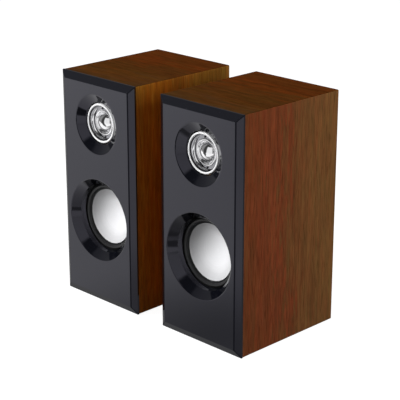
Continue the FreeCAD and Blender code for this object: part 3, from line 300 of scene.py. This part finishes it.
def mottled(name, dark, light, grain_mm, detail, dull, depth_mm=0.0, grit=0.5, **inputs):
    """A surface whose colour, roughness and relief follow one fine noise."""
    finish, tree, place = new_finish(name)
    grain = add_node(
        tree, "ShaderNodeTexNoise", Vector=place, Scale=1 / (grain_mm * MM), Detail=detail,
        Roughness=grit,
    )
    stops = ((0.3, paint(dark)), (0.7, paint(light)))
    tint = add_node(tree, "ShaderNodeValToRGB", {"stops": stops}, Fac=grain)
    rough = add_node(tree, "ShaderNodeMapRange", Value=grain, To_Min=dull[0], To_Max=dull[1])
    if depth_mm:
        inputs["Normal"] = add_node(tree, "ShaderNodeBump", Height=grain, Distance=depth_mm * MM)
    return complete(finish, Base_Color=tint, Roughness=rough, **inputs)


def soft_rubber(name, dark, light, dull):
    """Moulded rubber or foam: charcoal, softly shining, slightly dusty in its pores."""
    return mottled(
        name, dark, light, grain_mm=0.9, detail=4.0, dull=(dull - 0.06, dull + 0.06),
        depth_mm=0.02, Specular_IOR_Level=0.4,
    )


FOILS = (
    # Outer sides: red-brown near the fascia, and more olive towards the back.
    (
        "walnut_foil_upright", Z_AXIS, 0.05, ("outer_side_board",),
        (
            (0.00, "#6a3a20"), (0.14, "#6c361c"), (0.30, "#6e3820"), (0.38, "#763a20"),
            (0.47, "#643a20"), (0.56, "#6c4224"), (0.72, "#6b4526"), (1.00, "#6e4a28"),
        ),
    ),
    # Inner sides: a yellower brown, painted lighter to stand in for light in the shade between the
    # cabinets.
    (
        "walnut_foil_painted_lighter", Z_AXIS, 0.03, ("inner_side_board",),
        (
            (0.00, "#966222"), (0.14, "#905918"), (0.30, "#8c5216"), (0.44, "#844e1a"),
            (0.60, "#865920"), (1.00, "#825922"),
        ),
    ),
    # Tops and bottoms: dark, and redder towards the back.
    (
        "walnut_foil_level", X_AXIS, 0.0, ("top_board", "bottom_board"),
        (
            (0.00, "#452c16"), (0.25, "#4e2d10"), (0.36, "#46280f"), (0.50, "#4a2a10"),
            (0.62, "#542a0e"), (0.69, "#582a0e"), (0.78, "#4e280e"), (1.00, "#52290e"),
        ),
    ),
)
for foil, along, shine, boards, figure in FOILS:
    wear(walnut_foil(foil, along, figure, shine), *both(*boards))

# Fibreboard is dull and shows its fluff, even under one coat of black paint.
BOARD = {"grain_mm": 1.2, "detail": 5.0, "dull": (0.6, 0.8), "depth_mm": 0.08}
for board, name, dark, light in (
    ("rear_board", "black_painted_fibreboard", "#0c0c0c", "#1b1a19"),
    ("front_board", "raw_fibreboard", "#7c6044", "#94765a"),
):
    wear(mottled(name, dark, light, Specular_IOR_Level=0.35, **BOARD), *both(board))

# Matt ABS from a spark-eroded tool has a fine even pebble that kills the gloss.
PEBBLE = {"detail": 3.0, "dull": (0.48, 0.66), "depth_mm": 0.05, "grit": 0.6}
wear(
    mottled("textured_black_abs", "#101011", "#1f1f20", 0.7, **PEBBLE),
    *both("port_tube", "tweeter_housing"),
    "left_terminal_plate",
    "right_control_plate",
    "power_socket",
)
wear(mottled("knob_black_abs", "#121213", "#202022", 0.5, **PEBBLE), "volume_knob")
wear(mottled("green_socket_moulding", "#2c8a4c", "#37a05a", 0.5, **PEBBLE), "line_in_socket")

# Feet are of a dull rubber, and open foam hardly shines at all.
wear(soft_rubber("foot_rubber", "#121212", "#1d1d1c", 0.75), "feet")
wear(soft_rubber("gasket_foam", "#0b0b0b", "#161616", 0.9), *both("woofer_gasket"))


# ---------------------------------------------------------------- driver finishes


def from_axis(tree, place, centre):
    """The distance in metres from a line along Y through a centre."""
    offset = add_node(
        tree, "ShaderNodeVectorMath", {"operation": "SUBTRACT"}, i0=place, i1=centre
    )
    flat = add_node(
        tree, "ShaderNodeVectorMath", {"operation": "MULTIPLY"}, i0=offset, i1=(1.0, 0.0, 1.0)
    )
    length = add_node(tree, "ShaderNodeVectorMath", {"operation": "LENGTH"}, i0=flat)
    return length.outputs["Value"]


def satin_cone(side):
    """Pressed aluminium cone, lacquered satin: soft broad shine over faint spun rings,
    with painted shade that greys it towards the rim."""
    finish, tree, place = new_finish(f"{side}_satin_silver_cone")
    low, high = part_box(f"{side}_woofer_cone")
    rim = (high.x - low.x) / 2
    radius = from_axis(tree, place, (low + high) / 2)
    rings = add_node(
        tree, "ShaderNodeTexNoise", {"noise_dimensions": "1D"}, W=radius, Scale=1 / (0.8 * MM),
        Detail=2.0,
    )
    speck = add_node(tree, "ShaderNodeTexNoise", Vector=place, Scale=1 / (0.6 * MM), Detail=3.0)
    grain = add_node(tree, "ShaderNodeMix", {"data_type": "FLOAT"}, i0=0.6, i2=rings, i3=speck)
    stops = ((0.3, paint("#d6d6d8")), (0.7, paint("#e2e2e4")))
    tint = add_node(tree, "ShaderNodeValToRGB", {"stops": stops}, Fac=grain)
    # Painted shade greys the colour towards the rim.
    painted_rim_shade = add_node(
        tree, "ShaderNodeMapRange", {"interpolation_type": "SMOOTHSTEP"}, Value=radius,
        From_Min=rim * 0.45, From_Max=rim, To_Min=1.0, To_Max=0.68,
    )
    shaded = add_node(tree, "ShaderNodeVectorMath", {"operation": "SCALE"}, i0=tint, Scale=painted_rim_shade)
    dull = add_node(tree, "ShaderNodeMapRange", Value=speck, To_Min=0.36, To_Max=0.46)
    relief = add_node(tree, "ShaderNodeBump", Height=grain, Distance=0.01 * MM)
    return complete(
        finish, Base_Color=shaded, Roughness=dull, Normal=relief, Metallic=0.05,
        Specular_IOR_Level=0.25,
    )


# The bezel's zones, as shares of its outer radius, with painted shade in the groove and on the
# floor, and the bead around them.
BEZEL_PAINTED_ZONES = (
    (0.655, "#ececee"), (0.672, "#88888c"), (0.785, "#88888c"), (0.797, "#ececee"),
    (0.855, "#ececee"), (0.866, "#262628"), (0.880, "#262628"), (0.890, "#f4f4f5"),
)
BEAD_WIDTH = 1.8 * MM
BEAD_FADE = 0.2 * MM


def bezel_chrome(side):
    """Chromed zinc casting: a bright satin bead outside, a groove painted dark as shade, a
    mirror wall, a floor painted grey as shade and a bright inner ring."""
    finish, tree, place = new_finish(f"{side}_chromed_zinc")
    low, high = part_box(f"{side}_tweeter_bezel")
    outer = (high.x - low.x) / 2
    radius = from_axis(tree, place, (low + high) / 2)
    share = add_node(tree, "ShaderNodeMapRange", Value=radius, From_Max=outer)
    # The groove and the floor are painted darker, as shade.
    stops = [(position, paint(shade)) for position, shade in BEZEL_PAINTED_ZONES]
    shade = add_node(tree, "ShaderNodeValToRGB", {"stops": stops}, Fac=share)
    bead = add_node(
        tree, "ShaderNodeMapRange", Value=radius, From_Min=outer - BEAD_WIDTH - BEAD_FADE,
        From_Max=outer - BEAD_WIDTH,
    )
    smear = add_node(tree, "ShaderNodeTexNoise", Vector=place, Scale=1 / (3 * MM), Detail=3.0)
    mirror = add_node(tree, "ShaderNodeMapRange", Value=smear, To_Min=0.1, To_Max=0.14)
    rough = add_node(tree, "ShaderNodeMix", {"data_type": "FLOAT"}, i0=bead, i2=mirror, i3=0.3)
    metal = add_node(tree, "ShaderNodeMix", {"data_type": "FLOAT"}, i0=bead, i2=1.0, i3=0.3)
    return complete(finish, Base_Color=shade, Roughness=rough, Metallic=metal)


def bright_metal(name, dark, light, rough, grain_mm=1.0, metallic=1.0):
    """Bare or plated metal: a clear shine with a little mottle from the plating."""
    return mottled(
        name, dark, light, grain_mm, detail=4.0, dull=(rough * 0.8, rough * 1.2),
        Metallic=metallic,
    )


THREAD_PITCH = 0.8 * MM


def stiffened_cloth():
    """Woven cotton stiffened with resin: amber, with an open weave."""
    finish, tree, place = new_finish("resin_stiffened_cloth")
    # A wave of scale 1 has 20 radians to the metre.
    warp, weft = [
        add_node(
            tree, "ShaderNodeTexWave", {"bands_direction": direction}, Vector=place,
            Scale=math.tau / 20 / THREAD_PITCH, Distortion=0.4,
        ).outputs["Fac"]
        for direction in ("X", "Z")
    ]
    weave = add_node(tree, "ShaderNodeMath", {"operation": "MAXIMUM"}, i0=warp, i1=weft)
    stops = ((0.2, paint("#6e5226")), (0.9, paint("#b08c4c")))
    tint = add_node(tree, "ShaderNodeValToRGB", {"stops": stops}, Fac=weave)
    relief = add_node(tree, "ShaderNodeBump", Height=weave, Distance=0.15 * MM)
    return complete(finish, Base_Color=tint, Roughness=0.8, Normal=relief, Sheen_Weight=0.2)


def solder_mask():
    """Circuit board under green solder mask: glossy, with the copper showing as bands."""
    finish, tree, place = new_finish("green_solder_mask")
    tracks = add_node(
        tree, "ShaderNodeTexBrick", Vector=place, Scale=1 / (6 * MM), Color1=paint("#0e5a2c"),
        Color2=paint("#126a35"), Mortar=paint("#0a4020"),
    )
    return complete(finish, Base_Color=tracks, Roughness=0.25)


for side in SIDES:
    wear(gloss_abs(side), f"{side}_fascia")
    wear(satin_cone(side), f"{side}_woofer_cone")
    wear(bezel_chrome(side), f"{side}_tweeter_bezel")
# The domes are drawn foil, polished nearly to a mirror.
wear(bright_metal("polished_foil", "#e6e6e8", "#eeeeef", 0.06, 4.0), *both("tweeter_diaphragm"))
wear(
    bright_metal("zinc_plated_steel", "#8f9092", "#aeb0b1", 0.3),
    *both("woofer_yoke", "woofer_top_plate", "tweeter_yoke"),
)
wear(bright_metal("turned_steel", "#9a9a98", "#b4b4b2", 0.25), "volume_shaft", "volume_pot")
nickel = bright_metal("nickel_plate", "#b2ada3", "#c6c1b6", 0.2)
wear(nickel, *both("link_socket"))
wear(
    bright_metal("enamelled_copper", "#8c4a22", "#b8693a", 0.35, 0.6),
    *both("voice_coil", "tweeter_coil"),
)
# Ground ferrite is a dark ceramic, and painted steel shines through its paint only.
wear(
    bright_metal("ground_ferrite", "#1c1c1e", "#2d2d30", 0.6, 0.8, 0.1),
    *both("woofer_magnet", "tweeter_magnet"),
)
wear(
    bright_metal("black_painted_steel", "#101010", "#1c1c1c", 0.5, 1.5, 0.0),
    *both("woofer_frame"),
)
wear(
    bright_metal("black_oxide_steel", "#1a1a1b", "#2c2c2d", 0.4, 0.7),
    "woofer_screws",
    "plate_screws",
    "tweeter_screws",
)
wear(stiffened_cloth(), *both("woofer_spider"))
wear(solder_mask(), "right_amplifier_board")


# ---------------------------------------------------------------- rubber surrounds

SURROUND_SEGMENTS = 128
ROLL_STEPS = 14
RUBBER_SHEET = 0.4 * MM
LIP_WIDTH = 1.7 * MM
ROLL_WIDTH = 2.7 * MM
ROLL_RISE = 1.03 * MM
# Inside the roll the sheet goes down a leaning wall, along a groove and under the cone.
WALL_DROP = 0.6 * MM
WALL_LEAN = 0.08 * MM
WALL_REACH = 0.3 * MM
GROOVE_LEAN = 0.2 * MM
GROOVE_FALL = 0.05 * MM
GROOVE_SHEETS = 2.1
UNDER_CONE = 1.0 * MM
nitrile_rubber = soft_rubber("nitrile_rubber", "#1b1b1c", "#262627", 0.42)


def rubber_surround(side):
    """The half roll that lets the cone move: its outer edge stays with the frame and
    its inner edge goes with the cone."""
    low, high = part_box(f"{side}_woofer_surround")
    cone_low, cone_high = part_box(f"{side}_woofer_cone")
    axis = (low + high) / 2
    seal = (high.x - low.x) / 2
    rim = (cone_high.x - cone_low.x) / 2
    back = high.y
    lip = low.y + ROLL_RISE
    groove = back - RUBBER_SHEET * GROOVE_SHEETS
    outer = seal - LIP_WIDTH
    inner = outer - ROLL_WIDTH
    middle = (outer + inner) / 2

    # The front skin of the section, as depths and radii: from the lip over the roll, down
    # into the groove beside the cone, and under the cone's rim.
    front_skin = [(lip, seal), (lip, outer)]
    for step in range(1, ROLL_STEPS):
        turn = math.pi * step / ROLL_STEPS
        front_skin.append(
            (lip - ROLL_RISE * math.sin(turn), middle + ROLL_WIDTH / 2 * math.cos(turn))
        )
    front_skin += [
        (lip, inner),
        (lip + WALL_DROP, inner - WALL_LEAN),
        (groove, inner - GROOVE_LEAN),
        (groove + GROOVE_FALL, rim),
        (back - RUBBER_SHEET, rim - UNDER_CONE),
    ]
    # The back skin lies a sheet's thickness behind it, and that much inside the roll.
    back_skin = []
    for depth, radius in front_skin:
        if middle < radius < outer:
            radius -= RUBBER_SHEET
        elif inner - WALL_REACH <= radius <= middle:
            radius += RUBBER_SHEET
        back_skin.append((min(depth + RUBBER_SHEET, back), radius))
    outline = front_skin + back_skin[::-1]

    shape = bmesh.new()
    rings = []
    for segment in range(SURROUND_SEGMENTS):
        angle = math.tau * segment / SURROUND_SEGMENTS
        rings.append(
            [
                shape.verts.new(
                    (axis.x + radius * math.cos(angle), depth, axis.z + radius * math.sin(angle))
                )
                for depth, radius in outline
            ]
        )
    for here, after in zip(rings, rings[1:] + rings[:1]):
        for index in range(len(outline)):
            follow = (index + 1) % len(outline)
            quad = shape.faces.new((here[index], here[follow], after[follow], after[index]))
            quad.smooth = True
    surround = add_piece(f"{side}_rubber_surround", shape, nitrile_rubber)
    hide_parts(f"{side}_woofer_surround")
    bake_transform(surround)


for side in SIDES:
    rubber_surround(side)


# ---------------------------------------------------------------- volume markings

INLAY_THICKNESS = 0.25 * MM
INLAY_SUNK = 0.05 * MM
POINTER_WIDTH = 1.0 * MM
POINTER_LENGTH = 3.6 * MM
POINTER_INSET = 1.6 * MM
DOT_RADIUS = 0.55 * MM
DOT_CLEARANCE = 2.2 * MM
DOT_TURNS = range(-150, 151, 30)
CURVE_STEP = 15


def arc(x, z, radius, start, end):
    """Places around (x, z), from one angle in degrees to another."""
    turns = [math.radians(angle) for angle in range(start, end + 1, CURVE_STEP)]
    return [(x + radius * math.cos(turn), z + radius * math.sin(turn)) for turn in turns]


def inlay(name, outlines, face, body):
    """Thin bright inlays in a face that looks backwards: each outline is a ring of
    (x, z) places."""
    shape = bmesh.new()
    sunk = face - INLAY_SUNK
    for outline in outlines:
        front = [shape.verts.new((x, sunk, z)) for x, z in outline]
        back = [shape.verts.new((x, sunk + INLAY_THICKNESS, z)) for x, z in outline]
        shape.faces.new(front)
        shape.faces.new(back[::-1])
        for index in range(len(outline)):
            follow = (index + 1) % len(outline)
            shape.faces.new((front[follow], front[index], back[index], back[follow]))
    piece = add_piece(name, shape, nickel)
    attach(piece, body)


knob_low, knob_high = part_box("volume_knob")
knob_axis = (knob_low + knob_high) / 2
knob_radius = (knob_high.x - knob_low.x) / 2
plate_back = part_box("right_control_plate")[1].y

# The pointer is a bar with round ends, just inside the knob's chamfer.
pointer_top = knob_axis.z + knob_radius - POINTER_INSET
bar_end = POINTER_WIDTH / 2
bar = arc(knob_axis.x, pointer_top - bar_end, bar_end, 0, 180)
bar += arc(knob_axis.x, pointer_top - POINTER_LENGTH, bar_end, 180, 360)
inlay("volume_pointer", [bar], knob_high.y, "volume_control")

# Dots on the plate mark the travel.
dots = []
for dot_turn in DOT_TURNS:
    angle = math.radians(dot_turn)
    x = knob_axis.x + (knob_radius + DOT_CLEARANCE) * math.sin(angle)
    z = knob_axis.z + (knob_radius + DOT_CLEARANCE) * math.cos(angle)
    dots.append(arc(x, z, DOT_RADIUS, 0, 360 - CURVE_STEP))
inlay("volume_dots", dots, plate_back, "cabinets")


# ---------------------------------------------------------------- studio

# The camera sees a plain white floor and backdrop. Gloss sees a studio: a white table, a
# tall white panel to the right of the front, a dark gap beside it, and grey walls. Each
# grey belongs to a direction, in degrees from straight ahead. The panel's top is given as
# the height of a direction.
WALL_LEVELS = (
    (-180, 0.12), (-110, 0.15), (-70, 0.3), (-43, 0.26), (-34, 0.05), (50, 0.05), (90, 0.15),
    (180, 0.12),
)
PANEL_LEVELS = ((-8, 0.0), (-1, 0.9), (50, 0.9), (56, 0.0))
PANEL_TOP = (0.69, 0.75)
WORLD_LIGHT = 0.05

FLOOR_SIZE = 6.0
FLOOR_GREY = 0.2
FLOOR_GLOW = 0.86
FLOOR_SEEN = 0.95

# The table's painted shadow and shades in gloss, as levels and as places from the right-hand
# fascia.
SPOT_LEFT = 41 * MM
SPOT_AHEAD = 23 * MM
SPOT_REACH = 185 * MM
SHADOW_SPOT_LEVEL = 0.36
CONTACT_FADE = (12 * MM, 2 * MM)
CONTACT_SHADOW_LEVEL = 0.33
SLANT_FADE = (4 * MM, 24 * MM)
NEAR_LEVEL = 0.25
FAR_STARTS = (130 * MM, 170 * MM)
FAR_FADE = 20 * MM
FAR_LEVEL = 0.08
STRIP_INSET = 3 * MM
STRIP_FADE = (7 * MM, 16 * MM)
TABLE_ENDS = ((380 * MM, 430 * MM), (500 * MM, 600 * MM))
# How far left a line on the table drifts for each metre that it goes ahead: two on the
# part that the right-hand fascia mirrors, and one for each right-hand bevel.
SLANTS = {"near": 0.96, "far": 0.14, "left": -0.112, "right": -0.198}
SMOOTH = {"interpolation_type": "SMOOTHSTEP"}


def ray_kinds(tree):
    """Two sockets: 1 where a ray comes from the camera, a mirror or a clear piece, and 1
    where it comes from the camera."""
    path = add_node(tree, "ShaderNodeLightPath").outputs
    by_camera = path["Is Camera Ray"]
    mirrored = add_node(
        tree, "ShaderNodeMath", {"operation": "MAXIMUM"}, i0=path["Is Glossy Ray"],
        i1=path["Is Transmission Ray"],
    )
    seen = add_node(tree, "ShaderNodeMath", {"operation": "MAXIMUM"}, i0=mirrored, i1=by_camera)
    return seen, by_camera


def room_level(tree, direction):
    """How bright the studio's walls and panel are in a mirror, in a direction."""
    parts = add_node(tree, "ShaderNodeSeparateXYZ", Vector=direction).outputs
    ahead = add_node(tree, "ShaderNodeMath", {"operation": "MULTIPLY"}, i0=parts["Y"], i1=-1.0)
    turn = add_node(tree, "ShaderNodeMath", {"operation": "ARCTAN2"}, i0=parts["X"], i1=ahead)
    share = add_node(tree, "ShaderNodeMapRange", Value=turn, From_Min=-math.pi, From_Max=math.pi)
    walls, panel = [
        add_node(
            tree, "ShaderNodeValToRGB",
            {"stops": [((angle + 180) / 360, (grey, grey, grey, 1.0)) for angle, grey in levels]},
            Fac=share,
        )
        for levels in (WALL_LEVELS, PANEL_LEVELS)
    ]
    below_top = add_node(
        tree, "ShaderNodeMapRange", Value=parts["Z"], From_Min=PANEL_TOP[0],
        From_Max=PANEL_TOP[1], To_Min=1.0, To_Max=0.0,
    )
    panel = add_node(tree, "ShaderNodeMath", {"operation": "MULTIPLY"}, i0=panel, i1=below_top)
    return add_node(tree, "ShaderNodeMath", {"operation": "ADD"}, i0=walls, i1=panel)


def table_level(tree, spot):
    """How bright the table is in a mirror, and 1 for the spots that lie past its end."""
    parts = add_node(tree, "ShaderNodeSeparateXYZ", Vector=spot).outputs
    ahead = add_node(
        tree, "ShaderNodeMath", {"operation": "SUBTRACT"}, i0=fascia_low.y, i1=parts["Y"]
    )
    slanted = {
        name: add_node(
            tree, "ShaderNodeMath", {"operation": "MULTIPLY_ADD"}, i0=ahead, i1=slope,
            i2=parts["X"],
        )
        for name, slope in SLANTS.items()
    }

    # A painted shadow darkens it softly in front of the right-hand speaker, and where the cabinets
    # stand.
    painted_shadow_spot = Vector((fascia_high.x - SPOT_LEFT, fascia_low.y - SPOT_AHEAD, 0))
    away = add_node(tree, "ShaderNodeVectorMath", {"operation": "DISTANCE"}, i0=spot, i1=painted_shadow_spot)
    faded = add_node(
        tree, "ShaderNodeMapRange", SMOOTH, Value=away.outputs["Value"], From_Min=0.0,
        From_Max=SPOT_REACH, To_Min=SHADOW_SPOT_LEVEL, To_Max=1.0,
    )
    contact_shadow = add_node(
        tree, "ShaderNodeMapRange", SMOOTH, Value=parts["Y"],
        From_Min=fascia_low.y - CONTACT_FADE[0], From_Max=fascia_low.y - CONTACT_FADE[1],
    )
    level = add_node(
        tree, "ShaderNodeMix", {"data_type": "FLOAT"}, i0=contact_shadow, i2=faded, i3=CONTACT_SHADOW_LEVEL
    )

    # Each fascia mirrors the table along a slant. To the right of the right-hand one's
    # slant a painted shade makes it dark up to 0.15 m ahead, and then it is dark on the left and
    # bright on the right.
    beyond_slant = add_node(
        tree, "ShaderNodeMapRange", SMOOTH, Value=slanted["near"],
        From_Min=fascia_high.x + SLANT_FADE[0], From_Max=fascia_high.x + SLANT_FADE[1],
    )
    middle = (fascia_low.x + fascia_high.x) / 2
    far_level = add_node(
        tree, "ShaderNodeMapRange", SMOOTH, Value=slanted["far"], From_Min=middle - FAR_FADE,
        From_Max=middle, To_Min=FAR_LEVEL, To_Max=1.0,
    )
    is_far = add_node(
        tree, "ShaderNodeMapRange", SMOOTH, Value=ahead, From_Min=FAR_STARTS[0],
        From_Max=FAR_STARTS[1],
    )
    shade = add_node(
        tree, "ShaderNodeMix", {"data_type": "FLOAT"}, i0=is_far, i2=NEAR_LEVEL, i3=far_level
    )
    # The strips that the right-hand bevels mirror stay as they are.
    shaded = beyond_slant
    for side in SIDES:
        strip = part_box(f"{side}_fascia")[1].x - STRIP_INSET
        aside = add_node(
            tree, "ShaderNodeMath", {"operation": "SUBTRACT"}, i0=slanted[side], i1=strip
        )
        distance = add_node(tree, "ShaderNodeMath", {"operation": "ABSOLUTE"}, i0=aside)
        off_strip = add_node(
            tree, "ShaderNodeMapRange", SMOOTH, Value=distance, From_Min=STRIP_FADE[0],
            From_Max=STRIP_FADE[1],
        )
        shaded = add_node(
            tree, "ShaderNodeMath", {"operation": "MULTIPLY"}, i0=shaded, i1=off_strip
        )
    level = add_node(tree, "ShaderNodeMix", {"data_type": "FLOAT"}, i0=shaded, i2=level, i3=shade)

    # The table ends sooner beyond the slant than elsewhere.
    near_end, far_end = [
        add_node(tree, "ShaderNodeMapRange", SMOOTH, Value=ahead, From_Min=start, From_Max=end)
        for start, end in TABLE_ENDS
    ]
    near_end = add_node(
        tree, "ShaderNodeMath", {"operation": "MULTIPLY"}, i0=beyond_slant, i1=near_end
    )
    past_end = add_node(tree, "ShaderNodeMath", {"operation": "MAXIMUM"}, i0=far_end, i1=near_end)
    return level, past_end


def white_floor():
    """Painted white floor: its own grey takes the speakers' shadows, and a glow makes it
    white. Gloss sees a table with painted shadows on it, and the room past its end."""
    finish, tree, spot = new_finish("white_studio_floor")
    seen, by_camera = ray_kinds(tree)
    table, past_end = table_level(tree, spot)
    heading = add_node(
        tree, "ShaderNodeVectorMath", {"operation": "SUBTRACT"}, i0=spot,
        i1=(0.0, fascia_low.y, 0.0),
    )
    level = add_node(
        tree, "ShaderNodeMix", {"data_type": "FLOAT"}, i0=past_end, i2=table,
        i3=room_level(tree, heading),
    )
    level = add_node(tree, "ShaderNodeMath", {"operation": "MAXIMUM"}, i0=level, i1=by_camera)
    grey = add_node(tree, "ShaderNodeMath", {"operation": "MULTIPLY"}, i0=level, i1=FLOOR_GREY)
    tint = add_node(tree, "ShaderNodeCombineColor", i0=grey, i1=grey, i2=grey)
    diffuse = add_node(tree, "ShaderNodeBsdfDiffuse", Color=tint)
    strength = add_node(tree, "ShaderNodeMath", {"operation": "MULTIPLY"}, i0=level, i1=seen)
    own_glow = add_node(
        tree, "ShaderNodeMix", {"data_type": "FLOAT"}, i0=by_camera, i2=FLOOR_GLOW,
        i3=FLOOR_SEEN,
    )
    glow = add_node(tree, "ShaderNodeMath", {"operation": "MULTIPLY"}, i0=strength, i1=own_glow)
    emission = add_node(tree, "ShaderNodeEmission", Color=(1, 1, 1, 1), Strength=glow)
    surface = add_node(tree, "ShaderNodeAddShader", i0=diffuse, i1=emission)
    add_node(tree, "ShaderNodeOutputMaterial", Surface=surface)
    return finish


floor_mesh = bpy.data.meshes.new("studio_floor")
half = FLOOR_SIZE / 2
corners = [(-half, -half, 0), (half, -half, 0), (half, half, 0), (-half, half, 0)]
floor_mesh.from_pydata(corners, [], [(0, 1, 2, 3)])
floor_mesh.materials.append(white_floor())
floor = add_object("studio_floor", floor_mesh)

world = bpy.data.worlds.new("studio")
bpy.context.scene.world = world
world.use_nodes = True
tree = world.node_tree
tree.nodes.clear()
seen, by_camera = ray_kinds(tree)
direction = add_node(tree, "ShaderNodeTexCoord").outputs["Generated"]
level = add_node(
    tree, "ShaderNodeMix", {"data_type": "FLOAT"}, i0=seen, i2=WORLD_LIGHT,
    i3=room_level(tree, direction),
)
level = add_node(tree, "ShaderNodeMath", {"operation": "MAXIMUM"}, i0=level, i1=by_camera)
background = add_node(tree, "ShaderNodeBackground", Color=(1, 1, 1, 1), Strength=level)
add_node(tree, "ShaderNodeOutputWorld", Surface=background)

# Square softboxes aimed at the middle of the object. Gloss shows the studio only.
SOFTBOXES = (
    # name, azimuth, elevation, distance in m, size in m, power in W
    ("key_softbox", -40, 26, 1.6, 0.6, 42.0),
    ("side_softbox", 100, 17, 0.7, 0.55, 3.25),
    ("top_softbox", 60, 78, 1.5, 1.2, 6.6),
)
for name, azimuth, elevation, distance, size, power in SOFTBOXES:
    lamp_data = bpy.data.lights.new(name, "AREA")
    lamp_data.shape = "SQUARE"
    lamp_data.size = size
    lamp_data.energy = power
    lamp = add_object(name, lamp_data)
    stand_off(lamp, (cad_low + cad_high) / 2, azimuth, elevation, distance)
    lamp.visible_glossy = False

bpy.context.scene.view_settings.view_transform = "Standard"
